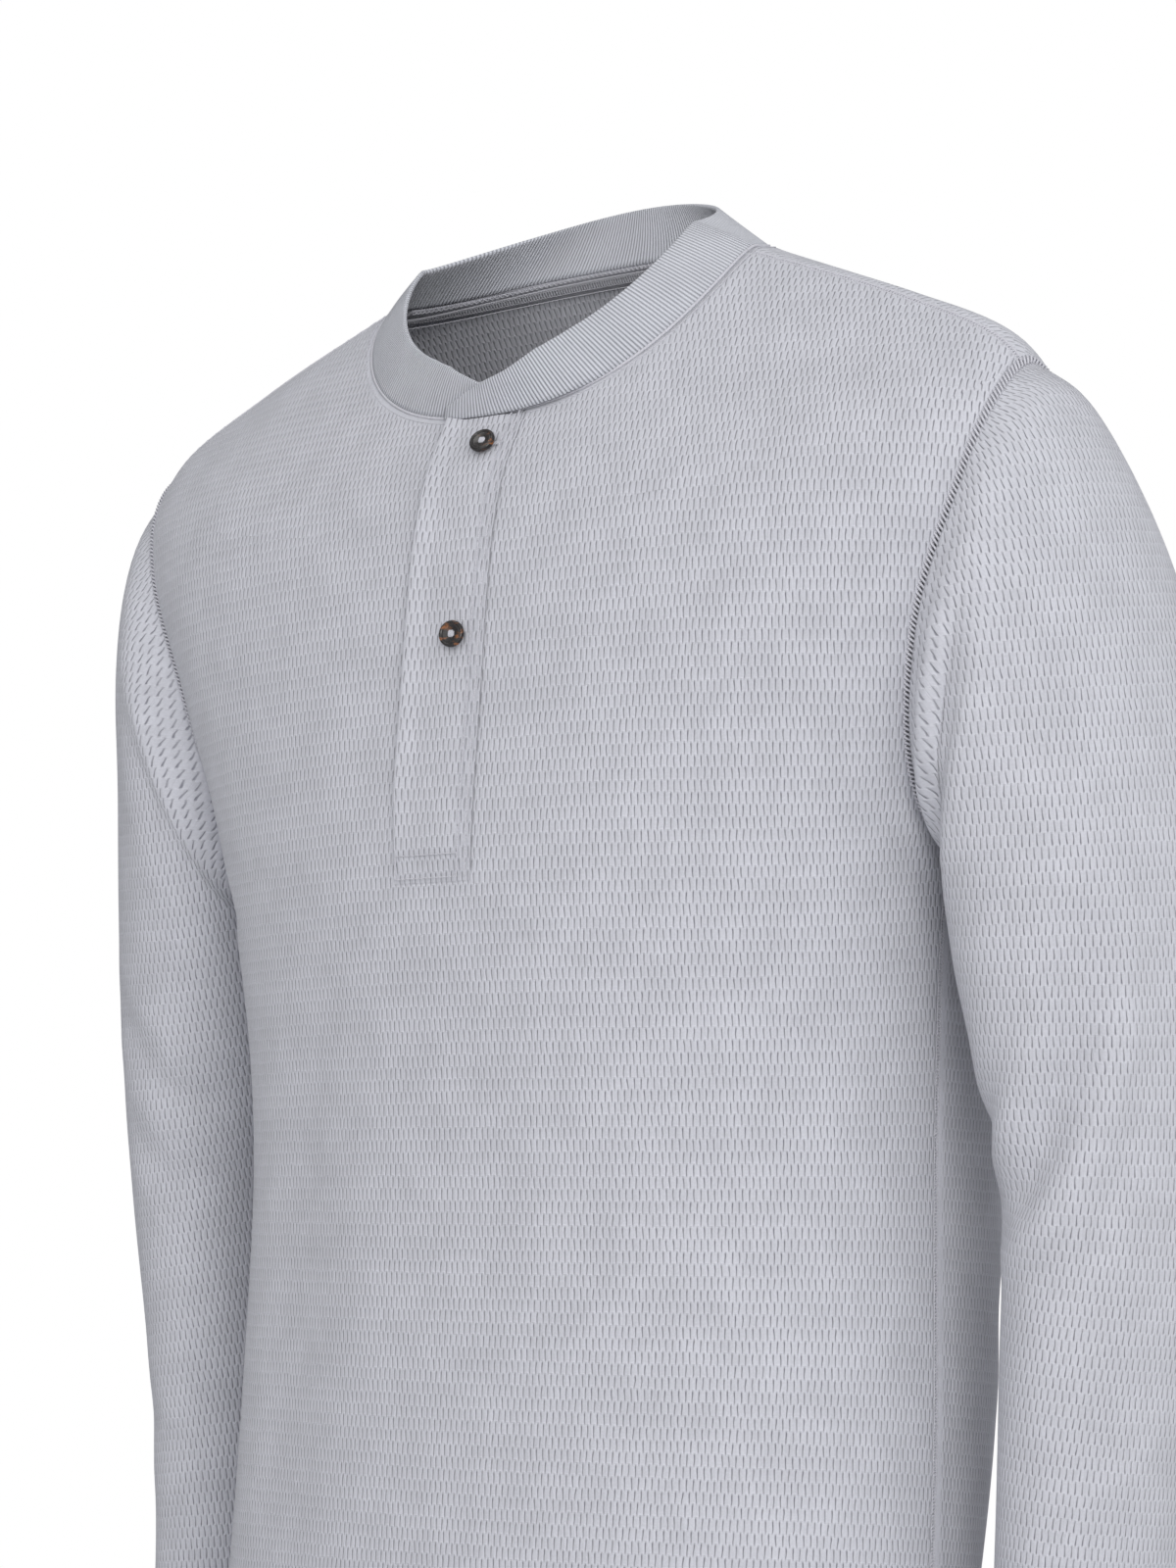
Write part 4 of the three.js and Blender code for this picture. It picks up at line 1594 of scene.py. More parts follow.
@dataclass
class Panel:
    """The front or the back of the body, with its hem turned up."""

    pattern: Pattern
    is_back: bool = False
    hem_height: float = 24.0
    side_columns: int = 70
    slot_columns: int = 9
    body_rows: int = 150
    armhole_rows: int = 72
    yoke_rows: int = 46
    trim: float = 0.1  # clear of the sleeves and of the other panel
    hem_rows: tuple[float, float] = (16.5, 22.5)
    seam_points: int = 200

    @property
    def name(self) -> str:
        """Name of the panel's piece."""
        return "back_panel" if self.is_back else "front_panel"

    def _plan(self) -> RowPlan:
        """Rows from the raw edge of the hem to the neck seam."""
        hole = self.pattern.armhole
        body = np.linspace(TURN_RADIUS * HEM_PER_MM, hole.pit, self.body_rows)
        turn = np.radians(np.linspace(180, 0, self.armhole_rows))
        beside = hole.middle + hole.half * np.cos(turn)
        yoke = np.linspace(hole.top, NECK - 0.004, self.yoke_rows)
        outer = np.concatenate([body, beside[1:], yoke[1:]])
        return plan_rows(outer, 0.0, HEM_PER_MM, self.hem_height)

    def _angles(self, place: Array) -> Array:
        """Angle of every column at each row.

        Args:
            place: Ring position of each row.

        Returns:
            Radians, one row for each place.
        """
        torso = self.pattern.torso
        edge = self.pattern.armhole.edge(place, self.is_back)
        around = torso.point(edge + 0.01, place) - torso.point(edge - 0.01, place)
        trim = self.trim * 0.02 / np.linalg.norm(around, axis=-1)
        if self.is_back:
            start, end = edge + trim, 2 * np.pi - edge - trim
            share = np.linspace(0, 1, 2 * self.side_columns + self.slot_columns + 1)
            return start[:, None] + (end - start)[:, None] * share
        right = -edge + trim
        left = edge - trim
        slot_right = torso.angle_at_x(-SLOT_HALF, place)
        slot_left = torso.angle_at_x(SLOT_HALF, place)
        stretches = ((right, slot_right, self.side_columns),
                     (slot_right, slot_left, self.slot_columns),
                     (slot_left, left, self.side_columns))
        parts = [a[:, None] + (b - a)[:, None] * np.linspace(0, 1, n, endpoint=False)
                 for a, b, n in stretches]
        return np.concatenate([*parts, left[:, None]], axis=1)

    def build(self) -> Cloth:
        """Works out the panel's cloth."""
        plan = self._plan()
        torso, drape = self.pattern.torso, self.pattern.drape
        angle = self._angles(plan.place)
        place = np.broadcast_to(plan.place[:, None], angle.shape)
        form, normals = torso.point(angle, place), torso.normal(angle, place)
        moved, gaps = drape.apply(form, normals)
        down = np.array([0.0, 0.0, -1.0])
        points = moved + normals * plan.offset[:, None, None] + down * plan.sink[:, None, None]
        side = 5.0 if self.is_back else 1.4
        pressed = {"armhole": 1.2, "neck": 2.7, "shoulder": 1.2, "side": side}
        cut = Cut(torso.point(self._angles(plan.unrolled), plan.unrolled[:, None]))
        self.flat = cut.flatten()
        self.keep = np.ones((angle.shape[0] - 1, angle.shape[1] - 1), bool)
        if not self.is_back:
            slot = slice(self.side_columns, self.side_columns + self.slot_columns)
            self.keep[:, slot] = (plan.place[:-1] < self.pattern.armhole.pit - RAW_EDGE)[:, None]
        return Cloth(points, self.flat, drape.pressed(gaps, pressed), self.keep)

    def threads(self) -> ThreadBasket:
        """Lays the stitches of the hem and the neck seam, and on the front panel those of the side
        and shoulder seams.
        """
        basket = ThreadBasket()
        edge = SIDE_SEAM - 0.4
        ends = (edge, 360 - edge) if self.is_back else (-edge, edge)
        spread = np.radians(np.linspace(*ends, 260))
        for height in self.hem_rows:
            position = np.full(len(spread), height * HEM_PER_MM)
            path, normals = self.pattern.on_body(spread, position)
            basket.lay(Thread(Stitch.RUNNING, 3.1, radius=0.24), path, normals)
        self._neck_line(basket)
        if not self.is_back:
            self._side_seams(basket)
        return basket

    def _neck_line(self, basket: ThreadBasket) -> None:
        """Stitches the welt just below the neck band."""
        ends = (-SHOULDER_SEAM, SHOULDER_SEAM)
        if self.is_back:
            ends = (SHOULDER_SEAM, 360 - SHOULDER_SEAM)
        count, torso = self.seam_points, self.pattern.torso
        spread = np.radians(np.linspace(*ends, count))
        seam = np.full(count, NECK)
        rise = np.linalg.norm(torso.point(spread, seam) - torso.point(spread, seam - 0.1), axis=-1)
        path, normals = self.pattern.on_body(spread, NECK - 2.9 * 0.1 / rise)
        shown = np.full(count, True)
        if not self.is_back:
            shown = np.abs(path[:, 0]) > PLACKET_HALF + 0.5
        stitch = Thread(Stitch.RUNNING, 2.2, radius=0.22)
        for part in np.split(np.arange(count), 2):  # a line on each side of the placket
            chosen = part[shown[part]]
            basket.lay(stitch, path[chosen], normals[chosen])
        line, out = self.pattern.on_body(spread, seam + 0.006)
        basket.tube(line + out * 0.1, 0.75)

    def _side_seams(self, basket: ThreadBasket) -> None:
        """Stitches the side seams and the shoulder seams with looped flat seams."""
        pit, top = self.pattern.armhole.pit, self.pattern.armhole.top
        runs = ((SIDE_SEAM, 0.02, pit - 0.02, self.seam_points),
                (SHOULDER_SEAM, top + 0.02, NECK - 0.05, 80))
        for degrees, low, high, count in runs:
            for side in (1, -1):
                angle = np.full(count, side * math.radians(degrees))
                path, normals = self.pattern.on_body(angle, np.linspace(low, high, count))
                basket.lay_pair(Thread(Stitch.CHAIN, 2.9, radius=0.33, reach=1.35), path, normals)


@dataclass
class Sleeve:
    """A long sleeve, cut in one piece with its seam under the arm and its cuff turned up."""

    pattern: Pattern
    side: int = 1
    columns: int = 100
    cap_rows: int = 10
    straight_rows: int = 24  # below the cap, whose wales run straight on into it
    arm_rows: int = 220
    cuff_height: float = 22.0
    cuff_rows: tuple[float, float] = (15.0, 20.5)

    @property
    def name(self) -> str:
        """Name of the sleeve's piece."""
        return "sleeve_left" if self.side > 0 else "sleeve_right"

    @property
    def per_mm(self) -> float:
        """Change of place in a millimetre up from the cuff."""
        return -1 / (SLEEVE[-2].outer_z - SLEEVE[-1].outer_z)

    def build(self) -> Cloth:
        """Works out the sleeve's cloth."""
        last = float(self.pattern.sleeve.length)
        arm = np.linspace(1, last + TURN_RADIUS * self.per_mm, self.arm_rows)[::-1]
        outer = np.concatenate([arm, np.linspace(1, 0, self.cap_rows + 1)[1:]])
        plan = plan_rows(outer, last, self.per_mm, self.cuff_height).reversed()
        turn = np.linspace(180.12, 539.88, self.columns)  # round from the seam under the arm
        if self.side < 0:
            turn = turn[::-1]
        form, normals = self.pattern.sleeve_form(turn, plan.place, self.side)
        moved, gaps = self.pattern.drape.apply(form, normals)
        edge, _ = self.pattern.sleeve_form(turn, np.array([last, last - 0.05]), self.side)
        down = unit(edge[0] - edge[1])[None]
        points = moved + normals * plan.offset[:, None, None] + down * plan.sink[:, None, None]
        welt = self.pattern.drape.pressed(gaps, {"armhole": 1.0, "underarm": 1.6})
        self.keep = None  # every cell is cloth
        unrolled, _ = self.pattern.sleeve_form(turn, plan.unrolled, self.side)
        self.flat = Cut.with_cap(unrolled, self.cap_rows + self.straight_rows)
        return Cloth(points, self.flat, welt)

    def threads(self) -> ThreadBasket:
        """Lays the stitches of the armhole, the underarm seam and the cuff."""
        basket = ThreadBasket()
        self._armhole(basket)
        length = np.linspace(0.1, 9.95, 220)
        path, normals = self.pattern.on_sleeve(np.full(220, 180.0), length, self.side)
        basket.lay_pair(Thread(Stitch.CHAIN, 2.9, radius=0.3, reach=1.2), path, normals)
        around = np.linspace(182, 538, 120)
        for height in self.cuff_rows:
            place = np.full(len(around), self.pattern.sleeve.length + height * self.per_mm)
            path, normals = self.pattern.on_sleeve(around, place, self.side)
            basket.lay(Thread(Stitch.RUNNING, 2.9, radius=0.24), path, normals)
        return basket

    def _armhole(self, basket: ThreadBasket) -> None:
        """Stitches the slanted flat seam round the armhole."""
        turn = np.linspace(0, 360, 361)
        angle, position = self.pattern.armhole.around(turn)
        path, normals = self.pattern.on_body(angle * self.side, position)
        if self.side < 0:
            path, normals = path[::-1], normals[::-1]
        basket.lay(Thread(Stitch.SLANT, 2.0, radius=0.5, reach=1.8, lift=1.0), path, normals)


@dataclass
class Strip:
    """A folded strip of the placket, with rounded edges."""

    pattern: Pattern
    half: float
    foot: float
    head: float
    lift: float
    is_pressed: bool = False  # flattened where it is sewn down at its right-hand edge
    rows: int = 120
    columns: int = 40
    end_rows: int = 4
    radius: float = 0.8
    spring: float = 2.2
    thinning: float = 0.86

    def build(self) -> Cloth:
        """Works out the strip's cloth as a closed, flattened tube."""
        turn = np.linspace(0, math.pi, 7)[1:-1]
        flat_half = self.half - self.radius
        across = np.linspace(-flat_half, flat_half, self.columns)
        bulge = self.radius * np.sin(turn)
        x = np.concatenate([across, flat_half + bulge, across[::-1], -flat_half - bulge])
        rise = np.concatenate([0 * across, self.radius * (np.cos(turn) - 1),
                               0 * across - 2 * self.radius, -self.radius * (1 + np.cos(turn))])
        x, rise = np.append(x, x[0]), np.append(rise, rise[0])
        torso, drape = self.pattern.torso, self.pattern.drape
        end = np.sin(np.linspace(0, math.pi / 2, self.end_rows + 1))[:-1]
        step = torso.point(0.0, self.foot) - torso.point(0.0, self.foot + 1)
        radius = self.radius / np.linalg.norm(step)
        rounding = radius * (1 - end)
        inner = np.linspace(self.foot + radius * 1.3, self.head - radius * 1.3, self.rows)
        place = np.concatenate([self.foot + rounding[::-1], inner, self.head - rounding])
        place = np.sort(place)
        share = np.linspace(0, 1, self.end_rows, endpoint=False)
        fat = np.ones(len(place))
        fat[: self.end_rows] = np.sqrt(1 - (1 - share) ** 2).clip(0.12)
        fat[-self.end_rows:] = fat[: self.end_rows][::-1]
        angle = np.array([torso.angle_at_x(value, place) for value in x]).T
        position = np.broadcast_to(place[:, None], angle.shape)
        form, normals = torso.point(angle, position), torso.normal(angle, position)
        moved, _ = drape.apply(form, normals)
        run = arc_length(form[:, len(across) // 2][:, None])[:, 0]
        press, spring = np.zeros(angle.shape), np.zeros(angle.shape)
        if self.is_pressed:  # sewn flat at the right and the foot, while the free edge springs up
            right, foot = smooth(x, 6.0, self.half - 1.2), 1 - smooth(run, 2.0, 16.0)
            press = np.maximum(right[None], foot[:, None])
            free = 1 - smooth(x, -self.half, -self.half + 10)
            spring = self.spring * free[None] * smooth(run, 12, 45)[:, None]
        thin = 1 - self.thinning * press
        sink = press * (self.lift - self.radius - 0.2) - spring
        offset = self.lift - self.radius - sink + (rise + self.radius)[None] * thin * fat[:, None]
        girth = np.concatenate([[0], np.cumsum(np.hypot(np.diff(x), np.diff(rise)))]) + x[0]
        grain = np.stack(np.broadcast_arrays(girth[None], run[:, None]), -1)
        index, first = np.arange(len(x)), len(across) + len(turn)
        inner_face = (index >= first) & (index < first + len(across))
        welt = np.broadcast_to(self._smooth_edge(x, inner_face), angle.shape)
        self.flat_size = (2 * self.half * MM, float(np.ptp(run)) * MM)
        return Cloth(moved + normals * offset[..., None], grain, welt, is_loop=True)

    def _smooth_edge(self, x: Array, inner_face: Array) -> Array:
        """Fades the knit along the strip's sewn edge."""
        sewn = 1 - smooth(np.abs(self.half - x - 3.2), 2.4, 3.4)
        return 0.15 * sewn * ~inner_face * self.is_pressed


@dataclass
class Placket:
    """The buttoned opening: an under strip, an outer strip, their stitches and buttonholes."""

    pattern: Pattern
    lap: float = 5.0
    box: float = 10.0
    seam_x: float = 14.3  # topstitching, from the middle of the strip
    second_seam: float = 4.2
    free_x: float = -18.4
    foot_margin: float = 1.6
    hole_half: float = 7.4
    line_points: int = 120

    def __post_init__(self) -> None:
        """Places the two strips."""
        torso, pit = self.pattern.torso, self.pattern.armhole.pit
        foot = torso.position_at(float(torso.point(0.0, pit)[2]) - self.lap)
        self.under = Strip(self.pattern, SLOT_HALF - GAP, pit + 0.006, NECK - 0.012, 0.0)
        self.outer = Strip(self.pattern, PLACKET_HALF, foot, NECK - 0.075, PLACKET_LIFT,
                           is_pressed=True)

    def _sew(self, basket: ThreadBasket, thread: Thread, x: Array, position: Array) -> None:
        """Sews a thread on the outer strip, through points given across and up the front.

        Args:
            basket: Where the thread is kept.
            thread: The thread.
            x: Millimetres across the front.
            position: Ring positions.
        """
        torso = self.pattern.torso
        angle = np.array([float(torso.angle_at_x(a, np.array(b))) for a, b in zip(x, position)])
        path, normals = self.pattern.on_body(angle, position)
        basket.lay(thread, path + normals * PLACKET_LIFT, normals)

    def _line(self, basket: ThreadBasket, x: tuple[float, float],
              position: tuple[float, float]) -> None:
        """Sews one straight line on the outer strip."""
        across, up = (np.linspace(*ends, self.line_points) for ends in (x, position))
        self._sew(basket, Thread(Stitch.RUNNING, 2.6, radius=0.26), across, up)

    def threads(self) -> ThreadBasket:
        """Lays the topstitching, the box at the foot and the buttonholes."""
        basket = ThreadBasket()
        torso, foot, head = self.pattern.torso, self.outer.foot, self.outer.head
        step = torso.point(0.0, foot) - torso.point(0.0, foot + 1)
        per_mm = 1 / float(np.linalg.norm(step))
        low, high = foot + self.foot_margin * per_mm, foot + self.box * per_mm
        for side in (self.seam_x, self.seam_x + self.second_seam):
            self._line(basket, (side, side), (low, head - 0.01))
        for level in (low, high):
            self._line(basket, (self.free_x, self.seam_x), (level, level))
        self._line(basket, (self.free_x, self.free_x), (low, high))
        for drop, is_upright in zip(BUTTON_DROPS, (False, True)):
            position = torso.position_at(TORSO[-1].z_front - drop)
            self._buttonhole(basket, position, per_mm, is_upright)
        return basket

    def _buttonhole(self, basket: ThreadBasket, position: float, per_mm: float,
                    is_upright: bool) -> None:
        """Oversews the edge of one buttonhole, which shows a little beyond its button.

        Args:
            basket: Where the thread is kept.
            position: Ring position of its middle.
            per_mm: Ring positions in a millimetre.
            is_upright: Whether it runs up and down.
        """
        turn = np.linspace(0, 2 * np.pi, 73)
        ahead = np.cos(turn)
        long, short = self.hole_half * np.sign(ahead) * np.abs(ahead) ** 0.7, np.sin(turn)
        across, up = (short, long) if is_upright else (long, short)
        thread = Thread(Stitch.ZIGZAG, 0.8, radius=0.2, reach=0.7)
        self._sew(basket, thread, BUTTON_X + across, position + up * per_mm)


@dataclass
class Collar:
    """The rib band round the neck, folded at its free edge and lapped at the front."""

    pattern: Pattern
    columns: int = 520
    face_rows: int = 10
    end_columns: int = 5
    radius: float = 1.1
    foot: float = 0.015  # share of the height left clear above the neck seam

    def build(self) -> Cloth:
        """Works out the band's cloth as a closed, flattened tube."""
        band = self.pattern.band
        degrees = np.linspace(band.over_end - 360, band.under_end, self.columns)
        turn = np.linspace(0, math.pi, 8)[1:-1]
        cap = self.radius / band.height
        face = np.linspace(0, 1, self.face_rows)
        share = np.concatenate([face, 0 * turn + 1, face[::-1], [0.0]])
        beyond = np.concatenate([0 * face, np.sin(turn) * cap, 0 * face, [0.0]])
        rise = np.concatenate([0 * face, self.radius * (np.cos(turn) - 1),
                               0 * face - 2 * self.radius, [0.0]])
        share, angle_grid = np.meshgrid(share, degrees, indexing="ij")
        top = self.foot + band.taper(angle_grid) * (1 - self.foot) - cap
        height = self.foot + share * (top - self.foot) + beyond[:, None]
        angle = np.radians(angle_grid)
        normals = band.normal(angle, np.clip(height, 0.05, 0.95))
        fat = np.ones(len(degrees))
        rounding = np.sin(np.linspace(0.15, math.pi / 2, self.end_columns))
        fat[: self.end_columns], fat[-self.end_columns:] = rounding, rounding[::-1]
        offset = -self.radius + (rise[:, None] + self.radius) * fat[None] + band.lap(angle_grid)
        points = band.surface(angle, height) + normals * offset[..., None]
        foot = self.pattern.torso.point(np.radians(degrees), np.full(len(degrees), NECK))
        run = arc_length(foot)
        steps = np.linalg.norm(np.diff(points, axis=0), axis=-1).mean(axis=1)
        girth = np.concatenate([[0], np.cumsum(steps)])
        grain = np.stack(np.broadcast_arrays(run[None], girth[:, None]), -1)
        self.flat_size = (band.height * MM, float(run[-1]) * MM)
        return Cloth(points, grain, is_loop=True)


@dataclass
class NeckTape:
    """Herringbone tape sewn over the seam inside the back of the neck."""

    pattern: Pattern
    width: float = 6.5
    wall: float = 1.0
    ends: tuple[float, float] = (94.0, 266.0)  # degrees from centre front

    def build(self) -> Cloth:
        """Works out the tape's cloth; its face is turned to the inside of the neck."""
        torso = self.pattern.torso
        step = torso.point(np.pi, NECK) - torso.point(np.pi, NECK - 1)
        below = self.width / float(np.linalg.norm(step))
        rows = np.linspace(NECK - below, NECK + 0.03, 7)
        angle, position = np.meshgrid(np.radians(np.linspace(*self.ends, 150)), rows)
        path, normals = self.pattern.on_body(angle, position)
        points = path - normals * (KNIT + 2 * GAP + self.wall)
        grain = np.stack([arc_length(points, 1), arc_length(points, 0)], -1)
        self.seams = [(points[row], -normals[row]) for row in (0, 3, 6)]  # low, middle, high
        return Cloth(points, grain)

    def threads(self) -> ThreadBasket:
        """Lays the three rows that hold the tape, on its face."""
        basket = ThreadBasket()
        low, middle, high = [(path + out * self.wall, out) for path, out in self.seams]
        basket.lay(Thread(Stitch.RUNNING, 2.4, radius=0.26), *low)
        basket.lay_pair(Thread(Stitch.CHAIN, 2.6, radius=0.3, reach=2.2), *middle)
        basket.lay(Thread(Stitch.ZIGZAG, 2.4, radius=0.3, reach=0.9), *high)
        return basket


@dataclass
class Button:
    """A dished shirt button with its rim line and the thread that holds it."""

    pattern: Pattern
    index: int
    radius: float = 5.7
    thickness: float = 2.6
    tilt: float = math.radians(10)
    lift: float = 0.35
    segments: int = 64
    dish: float = 0.85  # how deep the middle lies below the rim
    face: tuple[tuple[float, float], ...] = (  # in from the edge and down from the rim
        (0.06, 0.75), (0.3, 0.22), (0.75, 0.0), (1.15, 0.06), (1.42, 0.24), (1.52, 0.42),
        (1.62, 0.34), (2.1, 0.38), (3.2, 0.62), (4.4, 0.8))

    def __post_init__(self) -> None:
        """Finds the button's seat on the placket."""
        torso = self.pattern.torso
        drop = BUTTON_DROPS[self.index]
        self.position = torso.position_at(TORSO[-1].z_front - drop)
        angle = torso.angle_at_x(BUTTON_X, np.array(self.position))
        self.seat = torso.point(angle, self.position)
        self.normal = torso.normal(angle, self.position)
        turn = Matrix.Rotation(self.tilt, 3, "Z")
        facing = (turn @ Vector(self.normal)).to_track_quat("Z", "Y")
        stand = PLACKET_LIFT + self.lift + self.radius * math.sin(self.tilt)
        back = Vector(self.seat + self.normal * stand)
        self.frame = Matrix.Translation(back * MM) @ facing.to_matrix().to_4x4()

    def build(self) -> bpy.types.Object:
        """Spins the button's outline and seats it."""
        rim, radius, axis = self.thickness, self.radius, 0.01
        outline = [(axis, 0), (radius - 0.9, 0), (radius - 0.35, 0.25), (radius - 0.08, 0.8),
                   (radius, 1.3)]
        outline += [(radius - inward, rim - down) for inward, down in self.face]
        outline += [(axis, rim - self.dish)]
        mesh_data = bmesh.new()
        points = [mesh_data.verts.new((x * MM, 0.0, z * MM)) for x, z in outline]
        edges = [mesh_data.edges.new(pair) for pair in zip(points, points[1:])]
        bmesh.ops.spin(mesh_data, geom=points + edges, cent=(0, 0, 0), axis=(0, 0, 1),
                       dvec=(0, 0, 0), angle=math.tau, steps=self.segments, use_merge=True,
                       use_duplicate=False)
        bmesh.ops.remove_doubles(mesh_data, verts=mesh_data.verts, dist=2e-5)
        bmesh.ops.recalc_face_normals(mesh_data, faces=mesh_data.faces)
        bmesh.ops.transform(mesh_data, matrix=self.frame, verts=mesh_data.verts)
        return finish_mesh(f"button_{self.index + 1}_horn", mesh_data)

    def thread(self) -> ThreadBasket:
        """Lays the strands over the middle of the button and the shank below it."""
        basket = ThreadBasket()
        top = self.thickness - 0.62
        for shift in (-0.75, -0.25, 0.25, 0.75):
            for crosswise in (False, True):
                spots = np.linspace(-1, 1, 9)
                arch = (0.32 if crosswise else 0.1) * (1 - spots**2)
                rise = top + arch + 0.12 * (1 - abs(shift)) - 0.5 * np.abs(spots) ** 5
                line = np.stack([spots * 1.5, np.full(9, shift), rise], -1)
                if crosswise:
                    line = line[:, [1, 0, 2]]
                basket.tube(self._placed(line), 0.27)
        foot = self.seat + self.normal * (PLACKET_LIFT + 0.1)
        back = np.array(self.frame.translation) / MM
        for turn in np.linspace(0, math.tau, 7)[:-1]:
            side = np.array(self.frame.to_3x3() @ Vector((math.cos(turn), math.sin(turn), 0)))
            spots = np.linspace(0, 1, 5)[:, None]
            basket.tube(foot + (back - foot) * spots * 0.9 + side * 0.7, 0.4)
        return basket

    def _placed(self, line: Array) -> Array:
        """Points of the button's own frame, placed on the shirt."""
        return np.array([self.frame @ Vector(point * MM) for point in line]) / MM


# ------------------------------------------------------------------ studio
@dataclass(frozen=True)
class Lamp:
    """A soft square light: its place in metres, its size and its power in watts."""

    name: str
    place: Triple
    size: float
    watts: float


@dataclass(frozen=True)
class Studio:
    """The camera, the soft lights, the pale surround and the floor."""

    lens: float = 88.74
    camera_place: Triple = (1.0064, -1.3163, -0.392)
    camera_turn: float = math.radians(37.4) - 0.004  # to the wearer's left of straight ahead
    camera_pitch: float = 0.101  # upwards
    aim: Triple = (0.0, 0.0, -0.35)  # the chest
    lamp_colour: Triple = (1.0, 0.985, 0.955)
    lamps: tuple[Lamp, ...] = (
        Lamp("Key", (2.0, -1.8, 0.1), 1.1, 23.0),
        Lamp("Fill", (0.4, -2.7, 0.6), 1.8, 10.0),
        Lamp("Back", (0.3, 2.2, 1.5), 1.8, 4.0),
        Lamp("Top", (-0.5, -1.3, 2.0), 0.9, 6.0),
    )
    bright_side: Triple = (0.78, -0.38, 0.15)  # of the soft surround
    dim: float = 0.16
    bright: float = 0.92
    floor_height: float = -0.80
    floor_radius: float = 2.0

    def camera(self) -> None:
        """Sets the camera at the wearer's front left, level with the lower chest."""
        data = bpy.data.cameras.new("Camera")
        data.sensor_fit = "VERTICAL"
        data.sensor_height = 36.0
        data.lens = self.lens
        camera = link("Camera", data)
        turn, pitch = self.camera_turn, self.camera_pitch
        level = math.cos(pitch)
        ahead = Vector((-math.sin(turn) * level, math.cos(turn) * level, math.sin(pitch)))
        camera.rotation_euler = ahead.to_track_quat("-Z", "Y").to_euler()
        camera.location = self.camera_place
        bpy.context.scene.camera = camera

    def light(self, lamp: Lamp) -> None:
        """Adds one lamp, aimed at the chest.

        Args:
            lamp: Its place, size and power.
        """
        data = bpy.data.lights.new(lamp.name, "AREA")
        data.size = lamp.size
        data.energy = lamp.watts
        data.color = self.lamp_colour
        light = link(lamp.name, data)
        light.location = lamp.place
        aim = Vector(self.aim) - Vector(lamp.place)
        light.rotation_euler = aim.to_track_quat("-Z", "Y").to_euler()

    def surround(self) -> None:
        """A white backdrop for the camera and a dimmer soft light for the cloth."""
        world = bpy.data.worlds.new("Surround")
        bpy.context.scene.world = world
        world.use_nodes = True
        world.node_tree.nodes.clear()
        g = Graph(world.node_tree)
        path = g.add("ShaderNodeLightPath")
        white, soft = g.add("ShaderNodeBackground"), g.add("ShaderNodeBackground")
        g.settle(white, Color=(1, 1, 1, 1), Strength=1.0)
        g.settle(soft, Color=(0.97, 0.98, 1.0, 1))
        aim = g.add("ShaderNodeVectorMath", operation="DOT_PRODUCT")
        g.feed(aim.inputs[0], g.add("ShaderNodeTexCoord").outputs["Generated"])
        aim.inputs[1].default_value = self.bright_side
        strength = g.ramp(aim.outputs["Value"], -0.9, 0.9, self.dim, self.bright)
        g.feed(soft.inputs["Strength"], strength)
        mix = g.add("ShaderNodeMixShader")
        g.feed(mix.inputs[0], path.outputs["Is Camera Ray"])
        g.feed(mix.inputs[1], soft.outputs[0])
        g.feed(mix.inputs[2], white.outputs[0])
        g.feed(g.add("ShaderNodeOutputWorld").inputs["Surface"], mix.outputs[0])

    def floor(self, material: bpy.types.Material) -> None:
        """Lays a wide round floor below the shirt."""
        mesh_data = bmesh.new()
        bmesh.ops.create_circle(mesh_data, cap_ends=True, segments=96, radius=self.floor_radius)
        bmesh.ops.translate(mesh_data, verts=mesh_data.verts, vec=(0, 0, self.floor_height))
        floor = finish_mesh("floor", mesh_data, is_smooth=False)
        floor.data.materials.append(material)

    def build(self, wardrobe: Wardrobe) -> None:
        """Sets up everything that isn't the shirt."""
        bpy.context.scene.view_settings.view_transform = "Standard"
        self.camera()
        self.surround()
        for lamp in self.lamps:
            self.light(lamp)
        self.floor(wardrobe.floor)


